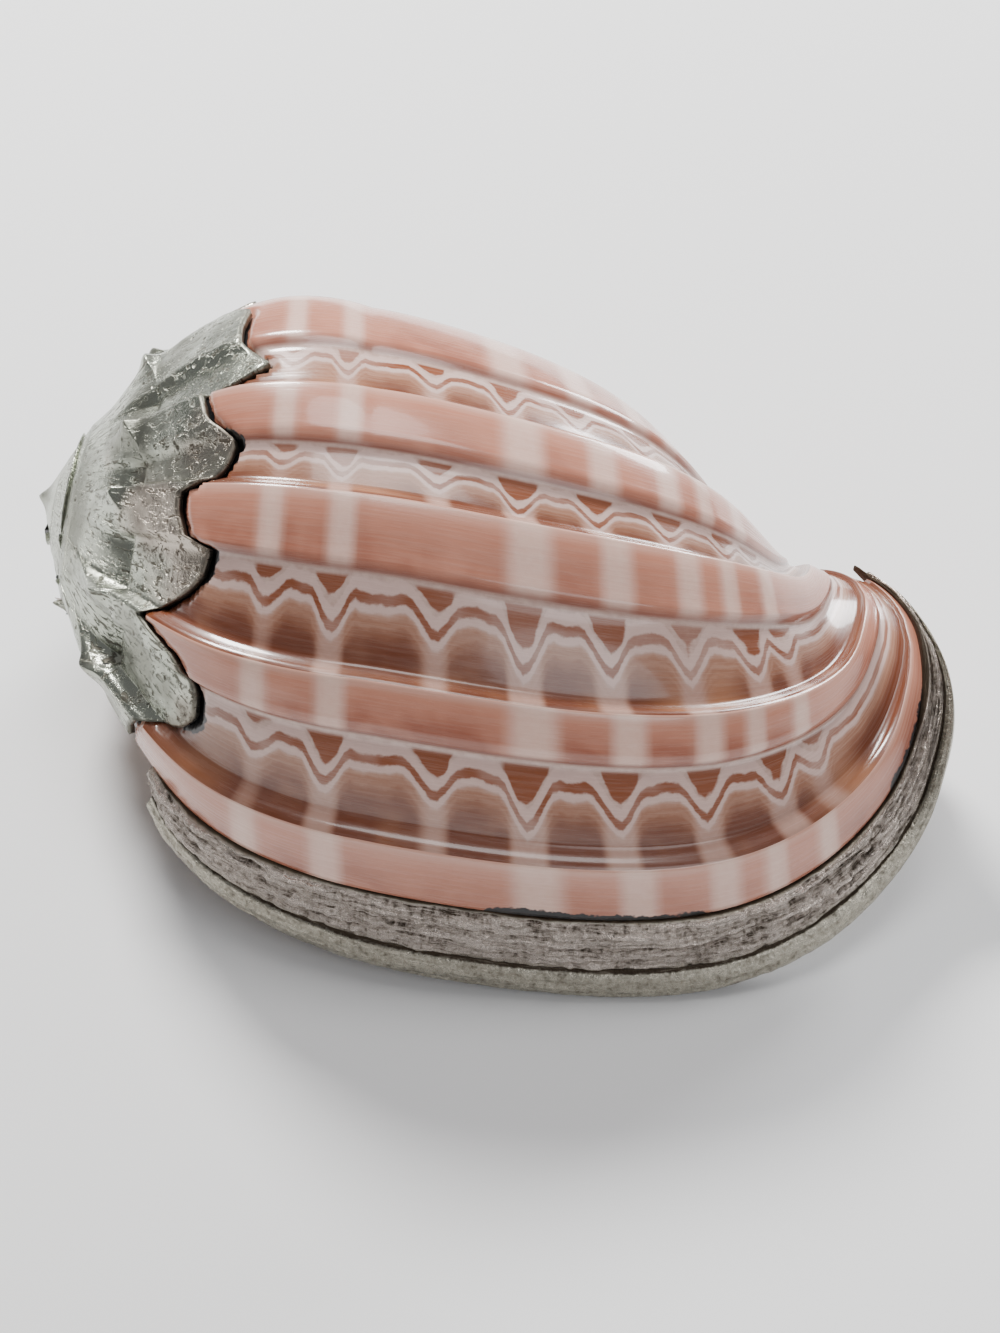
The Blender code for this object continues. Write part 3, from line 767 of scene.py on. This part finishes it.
def colour_marks(theta, s):
    """Dips, pale bands, and how dark the blocks are: more towards the lip, and by chance."""
    theta, s = np.broadcast_arrays(theta, s)
    mm = mm_along(s)
    rib = np.floor(rib_phase(theta))
    shade = 0.45 + 0.55 * lattice(mm * 0.085 + rib * 3.7, rib * 1.31 + 0.37, BLOCK_SEED)
    lipward = 1.0 - 0.45 * smooth(-50.0, -120.0, theta)
    return np.stack([dip_profile(mm), pale_profile(mm), np.clip(shade * lipward + 0.25, 0.0, 1.0)], -1)


def folded_rows(theta, s):
    """Rows in front of the fold close up away from the lip."""
    short = FRONT_SHORT * smooth(-40.0, -110.0, theta)
    return s - short * np.maximum(s - FOLD_S, 0.0)


OUTSIDE = 0
LINING = 1
CORNER_PAST_CAP = 0.0075
HOLLOW_ROWS = 60
HOLLOW_CROWDING = 1.3
TIP_RINGS = 12
TIP_BULGE = 0.9


def outer_grid(sheets, theta, s):
    """Grid of the outside, sunk under the silver."""
    theta, s = np.broadcast_arrays(theta, s)
    angle = to_lip(theta, s)
    points = welded(angle, s, silver_depth(angle, s))
    return sheets.grid(points, growth_data(angle, s), colour_marks(angle, s))


def whorls(sheets, turn, rows, last_s, suture):
    """The spire's whorl and the last whorl, joined at the suture, and a fan over the apex."""
    spire = outer_grid(sheets, turn[:, None] - FULL_TURN, rows[None, :suture + 1])
    last = outer_grid(sheets, turn[:, None], last_s)
    spire[-1] = last[0, :suture + 1]
    last[:, 0] = spire[:, suture]
    last[-1, 0] = last[0, suture]
    last[0, 0] = spire[0, suture]
    spire[-1, 0] = spire[0, suture]
    sheets.quads(spire)
    sheets.quads(last)
    loop = list(spire[:, 0]) + list(spire[0, suture - 1::-1])
    sheets.fan(loop, (1.9, 0.0, 0.0), (0.0, 0.0, -FULL_TURN * 2))
    return last


def hollow(sheets, first_floor, floor, roof):
    """Floor and roof of the hollow, wound inwards and closing up, joined at its sides and end."""
    depth = HOLLOW_DEPTH * np.linspace(0.0, 1.0, HOLLOW_ROWS)[1:, None] ** HOLLOW_CROWDING
    reach = 1.0 - CANAL_CLOSES * depth / HOLLOW_DEPTH
    floor_s = floor[0] + (floor[None, :] - floor[0]) * reach
    roof_s = roof[0] + (roof[None, :] - roof[0]) * reach
    floor_theta = BAND_START - FULL_TURN - depth + 0.0 * floor_s
    floor_points = welded(floor_theta, floor_s, silver_depth(floor_theta, floor_s))
    parietal = sheets.grid(floor_points, growth_data(-depth + 0.0 * floor_s, floor_s), 0.0)
    parietal = np.concatenate([first_floor, parietal])
    roof_theta = lip_angle(roof_s) - depth
    wall = sheets.grid(inner_wall(roof_theta, roof_s), growth_data(roof_theta, roof_s), 0.0)
    rim_points = inner_wall(lip_angle(roof), roof)[None]
    first_wall = sheets.grid(rim_points, growth_data(BAND_START, roof)[None], 0.0)
    wall = np.concatenate([first_wall, wall])
    wall = np.concatenate([parietal[:, :1], wall], axis=1)
    sheets.quads(parietal, LINING)
    sheets.quads(wall, LINING)
    sheets.quads(np.stack([wall[:, -1], parietal[:, -1]]), LINING)
    sheets.strip(list(wall[-1]), list(parietal[-1]), LINING)
    return parietal, wall


def front_tip(sheets, front, outer, parietal, wall):
    """Draws the front row in to the tip and closes the side towards the lip."""
    front_points = sheets.at(front)
    parts = np.linspace(0.0, 1.0, TIP_RINGS)[1:-1, None]
    bulge = (1.0 - parts) * (1.0 + TIP_BULGE * parts)
    ring_x = front_points[None, :, 0] + (TIP_AT - front_points[None, :, 0]) * parts
    ring = np.stack([ring_x, front_points[None, :, 1] * bulge, front_points[None, :, 2] * bulge], -1)
    rings = sheets.grid(ring, np.array([0.0, mm_along(0.99), -20.0]), 0.0)
    rings = np.concatenate([front[None, :], rings])
    sheets.quads(rings, OUTSIDE)
    sheets.fan(list(rings[-1]), (TIP_AT, 0.0, 0.0), (0.0, mm_along(1.0), -20.0))
    tip = sheets.count - 1
    seam = list(rings[:, -1]) + [tip] + list(rings[::-1, 0])
    sheets.strip(seam, [outer[-1]], OUTSIDE)
    sheets.strip([outer[-1], parietal[0, -1]], [wall[0, -1]], OUTSIDE)


def shell_piece(settings):
    """The whole shell as one closed mesh: outside, rim, hollow, columella and tip."""
    sheets = Sheets()
    rows = shell_rows(settings.row_count)
    suture = int(np.argmin(np.abs(rows - SUTURE_S)))
    wall_end = int(np.argmin(np.abs(rows - WALL_END_S)))
    turn = shell_columns(settings.column_step)
    last_s = folded_rows(turn[:, None], rows[None, :])
    last = whorls(sheets, turn, rows, last_s, suture)
    cap_end = float(cap_edge(np.array(BAND_START - FULL_TURN)))
    corner = int(np.searchsorted(last_s[0], cap_end + CORNER_PAST_CAP))
    parietal, wall = hollow(sheets, last[:1, corner:], last_s[0, corner:], rows[suture:wall_end + 1])
    outer = last[-1]
    rim_start = list(last[0, suture:corner + 1]) + [wall[0, 1]]
    sheets.strip(list(outer[:suture + 1]), rim_start, LINING)
    sheets.quads(np.stack([outer[suture:wall_end + 1], wall[0, 1:]]), LINING)
    sheets.strip(list(outer[wall_end:]), [wall[0, -1]], LINING)
    front_tip(sheets, last[:, -1], outer, parietal, wall)
    return sheets


# a distance in mm that no edge reaches
FAR_FROM_EDGE = 9.0

# black lacquer at the silver's borders: its width along the cap and along the band, how much that
# varies, pools along the cap, as theta, half width and added mm, and runs along the lip band, as
# place on the growth line, half length and added width in mm
CAP_LACQUER = (0.35, 0.25)
BAND_LACQUER = (-0.6, 0.5)
POOLS = ((-87.0, 4.0, 1.1), (-62.0, 5.5, 1.2), (-34.0, 7.5, 1.5), (-109.0, 3.0, 0.5))
RUNS = ((0.60, 14.0, 1.5), (0.795, 4.0, 0.9))


def edge_distances(sheets):
    """Millimetres from the lacquer's edges at the cap and the band, and where the callus lies."""
    data = np.concatenate(sheets.growth)
    mm = data[:, 1]
    theta = data[:, 2]
    s = s_along(mm)
    radius = LIP_RADIAL.at(s) * growth(theta / FULL_TURN, s, YOUNG_RADIUS)
    to_cap = mm - mm_along(cap_edge(theta))
    width = CAP_LACQUER[0] + CAP_LACQUER[1] * lattice(theta * 0.31, theta * 0.0, 5.0)
    for place, half, size in POOLS:
        width = width + size * (1.0 - smooth(0.3 * half, half, np.abs(theta - place)))
    to_band = np.radians(lip_angle(s) - theta) * radius
    run = BAND_LACQUER[0] + BAND_LACQUER[1] * lattice(mm * 0.05, mm * 0.0, 8.0)
    for place, half, size in RUNS:
        run = run + size * (1.0 - smooth(0.6 * half, half, np.abs(mm - mm_along(place))))
    bare = (theta > BAND_START - FULL_TURN - 0.5) & (theta < CAP_UNDERSIDE - 1.0)
    cap_gap = np.where(bare, FAR_FROM_EDGE, to_cap) - width
    callus = smooth(-300.0, -325.0, theta) * np.maximum(smooth(0.30, 0.36, s), 1.0 * bare)
    return np.stack([cap_gap, to_band - run, callus], -1)


class SEASHELL_OT_shell(bpy.types.Operator):
    """Build the ribbed shell with its hollow"""

    bl_idname = "seashell.shell"
    bl_label = "Shell"

    def execute(self, context):
        settings = context.scene.shell_settings
        sheets = shell_piece(settings)
        piece = sheets.build("ribbed_shell", [shell_paint(settings), lining_paint()])
        edges = piece.data.attributes.new("edges", "FLOAT_VECTOR", "POINT")
        edges.data.foreach_set("vector", edge_distances(sheets).astype(np.float32).ravel())
        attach(piece, "root")
        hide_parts("shell")
        return {"FINISHED"}


# painted reflection: a pinkish tint put into the silver's colour in patches
PINK_REFLECTION = (0.46, 0.30, 0.25)


def cap_paint(settings):
    """Polished silver: dark specks and pits, mottled dark clouds of tarnish with painted dark reflection,
    patches of painted pink reflection, dark at the cut edge.
    """
    paint = Paint("silver_cap_metal", metallic=1.0)
    place = paint.object_place()
    mm, theta = paint.attribute("growth")[1:]
    clouds = paint.noise(place, 110.0, 3.0, 0.6)
    grit = paint.noise(place, 1500.0, 4.0, 0.75)
    flecks = paint.noise(paint.place(mm * 0.55, theta * 0.62), 1.0, 3.0, 0.75, 0.6)
    specks = flecks.ramp(0.535, 0.62) * clouds.ramp(0.25, 0.5)
    pits = (1.0 - paint.cells(place, 800.0).ramp(0.10, 0.30)) * grit.ramp(0.46, 0.54)
    rim = 1.0 - paint.attribute("marks")[0].ramp(0.10, 0.75)
    dark = (specks * 0.75).math("MAXIMUM", pits * 0.8)
    # mottled dark clouds: painted dark reflection mixed with tarnish, darkening the silver in broad patches
    dark = dark.math("MAXIMUM", (1.0 - clouds.ramp(0.34, 0.52)) * 0.45)
    dark = dark.math("MAXIMUM", rim * (0.35 + grit * 0.6))
    # patches of painted pink reflection on the silver
    pink_reflection = paint.noise(place, 70.0, 2.0).ramp(0.52, 0.66) * 0.4
    colour = paint.mix(dark, paint.mix(pink_reflection, settings.silver, PINK_REFLECTION), settings.tarnish_and_dark_reflection)
    height = clouds * 0.5 - specks * 0.35 - pits * 0.3 + grit * 0.16
    return paint.finish(base_color=colour, roughness=0.17 + clouds * 0.14 + dark * 0.35,
                        normal=paint.relief(height, 0.7, 0.0006))


# the smooth top of the cap, in mm: place and slope of the cone, the nub's height and radius, and
# how far the cone bulges, over what radius
CONE_AT = 0.30
CONE_SLOPE = 0.46
NUB = (0.5, 0.8)
BULGE = (0.35, 18.0)
TOP_ENDS_S = 0.17
TOP_ENDS_AFTER = 40.0
HAMMER = 0.10


def dome(radius):
    """Axial place of the cap's smooth top: a low cone, a little round, with a nub at the apex."""
    nub = NUB[0] * np.exp(-(radius / NUB[1]) ** 2)
    bulge = BULGE[0] * np.sin(np.pi * np.minimum(radius / BULGE[1], 1.0))
    return CONE_AT + CONE_SLOPE * radius - nub - bulge


def smooth_top(points, theta, s, suture):
    """Fills the suture between the whorls of the spire, so that its top is one smooth dome."""
    start = BAND_START - FULL_TURN
    older = 1.0 - smooth(start, start + TOP_ENDS_AFTER, theta)
    part = np.linspace(0.0, 1.0, suture + 1)[None, :, None]
    straight = points[:, :1, 1:] * (1.0 - part) + points[:, suture:suture + 1, 1:] * part
    share = older[:, :suture + 1, None]
    points[:, :suture + 1, 1:] = straight * share + points[:, :suture + 1, 1:] * (1.0 - share)
    raised = dome(np.hypot(points[..., 1], points[..., 2]))
    raised = raised + 0.05 * lattice(points[..., 1] * 0.6, points[..., 2] * 0.6, 4.0)
    fill = np.maximum(older, np.clip(1.0 - s / TOP_ENDS_S, 0.0, 1.0) ** 2)
    points[..., 0] += fill * np.minimum(raised - points[..., 0], 0.0)


def cap_skin(sheets, layer, theta, s, suture):
    """Grid of one skin: the hammered outside with its smooth top, or the plain inside."""
    theta, s = np.broadcast_arrays(theta, s)
    hammer = HAMMER * lattice(mm_along(s) * 0.35, theta * 0.22, 3.0) if layer == 0.0 else 0.0
    points = welded(theta, s, layer + hammer * smooth(0.02, 0.1, s) * smooth(-420.0, -350.0, theta))
    if layer == 0.0:
        smooth_top(points, theta, s, suture)
    distance = mm_along(cap_edge(theta)) - mm_along(s)
    marks = np.stack([distance, distance * 0.0, distance * 0.0], -1)
    return sheets.grid(points, growth_data(theta, s), marks)


def close_apex(sheets, loop, layer):
    """Rings from a closed loop of indices in to the apex, and a fan in the middle."""
    points = sheets.at(loop[:-1])[None]
    parts = np.linspace(1.0, 0.0, 12)[1:-1, None, None]
    ring = points * parts
    ring[..., 0] = dome(np.hypot(ring[..., 1], ring[..., 2])) + layer
    rings = sheets.grid(ring, np.zeros(3), np.array([FAR_FROM_EDGE, 0.0, 0.0]))
    rings = np.concatenate([rings, rings[:, :1]], axis=1)
    sheets.quads(np.concatenate([loop[None, :], rings]))
    sheets.fan(list(rings[-1]), (float(dome(0.0)) + layer, 0.0, 0.0), (0.0, 0.0, 0.0))
    sheets.marks[-1] = np.full((1, 3), FAR_FROM_EDGE)


def cap_piece(settings):
    """The cap: outside and inside skins a silver's thickness apart, joined round the edge."""
    sheets = Sheets()
    turn = shell_columns(bpy.context.scene.shell_settings.column_step)
    theta = turn[:, None]
    upper = np.linspace(0.0, SUTURE_S, 56)
    below = np.linspace(0.0, 1.0, 16)[1:]
    suture = len(upper) - 1
    behind = (theta > BAND_START - FULL_TURN + 1.0) & (theta < CAP_UNDERSIDE)
    squeeze = np.where(behind, BEHIND_LIP_S / SUTURE_S, 1.0)
    lower_rows = SUTURE_S + (cap_edge(theta) - SUTURE_S) * below
    rows = np.concatenate([upper[None, :] * squeeze, lower_rows], axis=1)
    begin = int(np.searchsorted(turn, CAP_UNDERSIDE))
    edges = []
    for layer in (0.0, settings.skin):
        spire = cap_skin(sheets, layer, theta - FULL_TURN, upper[None, :], suture)
        full = cap_skin(sheets, layer, theta, rows, suture)
        spire[-1] = full[0, :suture + 1]
        full[:, 0] = spire[:, suture]
        full[-1, 0] = full[0, suture]
        full[0, 0] = spire[0, suture]
        spire[-1, 0] = spire[0, suture]
        sheets.quads(spire)
        sheets.quads(full[:, :suture + 1])
        sheets.quads(full[begin:, suture:])
        close_apex(sheets, np.concatenate([spire[:, 0], spire[0, suture - 1::-1]]), layer)
        sides = [full[:begin, suture], full[begin, suture:], full[begin + 1:, -1], full[-1, -2::-1]]
        edges.append(np.concatenate(sides))
    sheets.quads(np.array(edges))
    return sheets


class SEASHELL_OT_cap(bpy.types.Operator):
    """Build the silver cap over the spire"""

    bl_idname = "seashell.cap"
    bl_label = "Silver cap"

    def execute(self, context):
        settings = context.scene.silver_settings
        piece = cap_piece(settings).build("silver_cap", [cap_paint(settings)])
        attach(piece, "root")
        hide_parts("silver_spire_cap")
        return {"FINISHED"}


# section of the lip band: angle from the lip, depth under the crest surface, roughness of relief
BAND_SECTION = ((-15.4, 1.3, 0.0), (-15.35, 0.75, 0.3), (-14.6, 0.45, 1.0), (-12.5, 0.25, 1.0),
                (-8.6, 0.35, 1.0), (-6.3, 0.55, 0.7), (-5.9, 0.85, 0.2), (-5.5, 0.85, 0.2),
                (-5.1, 0.45, 0.2), (-4.0, 0.15, 0.3), (-2.6, 0.0, 0.35), (-1.2, 0.1, 0.35),
                (-0.3, 0.6, 0.3), (0.2, 1.6, 0.2), (0.1, 2.6, 0.1), (-0.8, 3.3, 0.0))
BAND_INNER = ((-4.5, 3.45), (-8.0, 3.25), (-11.5, 3.05), (-15.4, 3.05))
BAND_ROWS = 420
BAND_POINTS = 74
# point of the section at which the two halves of an end strip part
END_SPLIT = 70
# the fold round the canal: where it begins, how many degrees wider and how much prouder it is
FOLD_BEGINS = (0.80, 0.90)
FOLD_WIDER = 4.5
FOLD_PROUD = 0.5
FOLD_WRINKLES = 2.1

BEAD_SILVER = (0.43, 0.40, 0.33)
STRIP_SILVER = (0.58, 0.48, 0.45)


def band_paint(settings):
    """Rough silver: dark hollows and streaks along the lip, crossed by bright scratches."""
    paint = Paint("silver_band_metal", metallic=1.0)
    mm, theta = paint.attribute("growth")[1:]
    hollow, rough, rim = paint.attribute("marks")
    streak = paint.noise(paint.place(mm * 0.22, theta * 1.9), 1.0, 4.0, 0.65, 0.4)
    scratch = paint.noise(paint.place(mm * 0.35, theta * 5.0), 1.0, 3.0, 0.7)
    cross = paint.noise(paint.place(mm * 1.8, theta * 0.6), 1.0, 3.0, 0.6)
    grit = paint.noise(paint.object_place(), 1500.0, 3.0, 0.75)
    dark = hollow * 0.7 + (streak - 0.5) * 1.5 * rough + (cross - 0.5) * 1.0 * rough
    dark = (dark + (grit - 0.5) * 1.2 + rough * 0.05).ramp(0.05, 0.7)
    dark = dark * (1.0 - scratch.ramp(0.54, 0.62) * 0.9 * rough)
    dark = dark.math("MAXIMUM", rim)
    silver = paint.mix(rough.ramp(0.4, 0.9) * 0.5, BEAD_SILVER, STRIP_SILVER)
    colour = paint.mix(dark, silver, settings.tarnish_and_dark_reflection)
    height = (streak * 0.5 + cross * 0.3 + scratch * 0.3) * rough + grit * 0.2
    return paint.finish(base_color=colour, roughness=0.22 + dark * 0.33 + grit * 0.08,
                        normal=paint.relief(height, 0.8, 0.0008))


def band_relief(theta, mm, rough):
    """Bark: long streaks crossed by short steps, deeper and folded round the canal."""
    streaks = lattice(mm * 0.16, theta * 1.15, 11.0) + 0.6 * lattice(mm * 0.4, theta * 2.3, 12.0)
    steps = 0.5 * lattice(mm * 1.1, theta * 0.5, 13.0) + 0.25 * lattice(mm * 2.2, theta * 1.3, 14.0)
    folds = smooth(*mm_along(FOLD_BEGINS), mm)
    wrinkles = lattice(mm * 0.42 + theta * 0.10, theta * 0.42, 15.0) * (0.5 + rough)
    return (streaks + steps) * rough * (1.0 - 0.4 * folds) + FOLD_WRINKLES * folds * wrinkles


def band_section():
    """Angle, depth and roughness at the points of the section, evenly spaced on its outer side."""
    knots = np.array(BAND_SECTION)
    steps = np.hypot(np.diff(knots[:, 0]) * 0.7, np.diff(knots[:, 1]))
    lengths = np.concatenate([[0.0], np.cumsum(steps)])
    even = np.linspace(0.0, lengths[-1], BAND_POINTS)
    angle, depth, rough = (np.interp(even, lengths, knots[:, column]) for column in range(3))
    inner = np.array(BAND_INNER)
    angle = np.concatenate([angle, inner[:, 0]])
    depth = np.concatenate([depth, inner[:, 1]])
    return angle, depth, np.concatenate([rough, np.zeros(len(inner))])


def band_piece(settings):
    """The band: a closed section carried along the lip, closed at both ends."""
    sheets = Sheets()
    s = s_along(np.linspace(mm_along(BAND_RUN[0]), mm_along(BAND_RUN[1]), BAND_ROWS))
    angle, depth, rough = band_section()
    outer_side = smooth(-6.0, -14.0, angle) * (depth < 2.0)
    front = smooth(*FOLD_BEGINS, s)[:, None] * outer_side[None, :]
    theta = angle[None, :] - FOLD_WIDER * front
    place = s[:, None] + 0.0 * theta
    thin = fold_thin(place)
    relief = band_relief(theta, mm_along(place), rough[None, :]) * settings.bark
    raised = relief * (0.25 + 0.75 * thin) * (rough[None, :] > 0.0)
    shoulder_end = 0.4 * (1.0 - smooth(BAND_RUN[0], BAND_RUN[0] + 0.02, place))
    sunk = depth[None, :] * thin - FOLD_PROUD * front - raised + shoulder_end
    points = crest_surface(theta, place) - normal_out(theta, place) * sunk[..., None]
    groove = smooth(0.5, 0.8, depth) * smooth(-7.5, -6.0, angle) * (depth < 1.3)
    rim = 1.0 - smooth(-15.4, -14.9, theta)
    marks = np.stack(np.broadcast_arrays(groove + 0.25 - 0.8 * relief, rough[None, :], rim), -1)
    index = sheets.grid(points, growth_data(theta, place), marks)
    closed = np.concatenate([index, index[:, :1]], axis=1)
    sheets.quads(closed)
    for ring in (closed[0], closed[-1]):
        sheets.strip(list(ring[:END_SPLIT + 1]), list(ring[:END_SPLIT - 1:-1]))
    return sheets


class SEASHELL_OT_band(bpy.types.Operator):
    """Build the silver band along the lip and round the canal"""

    bl_idname = "seashell.band"
    bl_label = "Silver lip band"

    def execute(self, context):
        settings = context.scene.silver_settings
        piece = band_piece(settings).build("silver_band", [band_paint(settings)])
        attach(piece, "root")
        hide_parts("silver_lip_band")
        return {"FINISHED"}


# the camera about the coiling axis, in mm, and its right, down and forward directions
CAMERA_AT = (41.824, 118.104, -242.917)
CAMERA_RIGHT = (0.97222, -0.19966, -0.12215)
CAMERA_DOWN = (0.23231, 0.88678, 0.39957)
CAMERA_FORWARD = (0.02854, -0.41685, 0.90853)
LENS = 71.26
FILM = 36.0

# soft lights: name, place in metres, size in metres, power in watts, colour
LIGHTS = (
    ("key", (-0.28, 0.42, 0.50), 0.20, 8.5, (1.0, 0.99, 0.97)),
    ("fill", (0.45, -0.50, 0.55), 0.50, 1.6, (0.97, 0.98, 1.0)),
    ("back", (0.30, 0.60, 0.28), 0.25, 4.5, (0.96, 0.98, 1.0)),
    ("top", (0.02, 0.10, 0.80), 0.40, 2.5, (1.0, 1.0, 1.0)),
)


class SEASHELL_OT_stage(bpy.types.Operator):
    """Add the pale floor, the soft lights and the camera"""

    bl_idname = "seashell.stage"
    bl_label = "Stage"

    def execute(self, context):
        add_floor()
        add_lights()
        add_world()
        add_camera(context)
        return {"FINISHED"}


def add_floor():
    mesh = bpy.data.meshes.new("floor")
    reach = 3.0
    corners = [(-reach, -reach, 0.0), (reach, -reach, 0.0), (reach, reach, 0.0), (-reach, reach, 0.0)]
    mesh.from_pydata(corners, [], [(0, 1, 2, 3)])
    paint = Paint("pale_floor", base_color=(0.86, 0.86, 0.86, 1.0), roughness=0.85)
    mesh.materials.append(paint.material)
    floor = bpy.data.objects.new("floor", mesh)
    bpy.context.scene.collection.objects.link(floor)


def add_lights():
    for name, place, size, power, colour in LIGHTS:
        light = bpy.data.lights.new(name, "AREA")
        light.shape = "DISK"
        light.size = size
        light.energy = power
        light.color = colour
        lamp = bpy.data.objects.new(name, light)
        lamp.location = place
        lamp.rotation_euler = (Vector((0.0, 0.0, 0.02)) - Vector(place)).to_track_quat("-Z", "Y").to_euler()
        bpy.context.scene.collection.objects.link(lamp)


def add_world():
    """A plain, pale light from all sides."""
    world = bpy.data.worlds.new("studio")
    world.use_nodes = True
    background = world.node_tree.nodes["Background"]
    background.inputs["Color"].default_value = (0.95, 0.96, 1.0, 1.0)
    background.inputs["Strength"].default_value = 0.26
    bpy.context.scene.world = world


def add_camera(context):
    camera = bpy.data.cameras.new("camera")
    camera.sensor_fit = "VERTICAL"
    camera.sensor_height = FILM
    camera.lens = LENS
    camera.clip_start = 0.01
    holder = bpy.data.objects.new("camera", camera)
    turn = Matrix.Rotation(math.radians(PITCH), 3, "Y") @ Matrix.Rotation(math.radians(180.0 + ROLL), 3, "X")
    right = turn @ Vector(CAMERA_RIGHT)
    up = turn @ -Vector(CAMERA_DOWN)
    behind = turn @ -Vector(CAMERA_FORWARD)
    place = Vector(rested(np.array(CAMERA_AT)).tolist())
    axes = Matrix((right, up, behind)).transposed().to_4x4()
    holder.matrix_world = Matrix.Translation(place) @ axes
    context.scene.collection.objects.link(holder)
    context.scene.camera = holder


class SEASHELL_PT_panel(bpy.types.Panel):
    """Lists the settings and the pieces"""

    bl_label = "Seashell"
    bl_idname = "SEASHELL_PT_panel"
    bl_space_type = "VIEW_3D"
    bl_region_type = "UI"
    bl_category = "Seashell"

    def draw(self, context):
        for group in (context.scene.shell_settings, context.scene.silver_settings):
            for label in group.__annotations__:
                self.layout.prop(group, label)
        for operator in STEPS:
            self.layout.operator(operator.bl_idname)


STEPS = (SEASHELL_OT_shell, SEASHELL_OT_cap, SEASHELL_OT_band, SEASHELL_OT_stage)
CLASSES = (ShellSettings, SilverSettings, *STEPS, SEASHELL_PT_panel)


def register():
    for item in CLASSES:
        bpy.utils.register_class(item)
    bpy.types.Scene.shell_settings = PointerProperty(type=ShellSettings)
    bpy.types.Scene.silver_settings = PointerProperty(type=SilverSettings)


def unregister():
    del bpy.types.Scene.shell_settings
    del bpy.types.Scene.silver_settings
    for item in reversed(CLASSES):
        bpy.utils.unregister_class(item)


def main():
    register()
    bpy.ops.seashell.shell()
    bpy.ops.seashell.cap()
    bpy.ops.seashell.band()
    bpy.ops.seashell.stage()


if __name__ == "__main__":
    main()
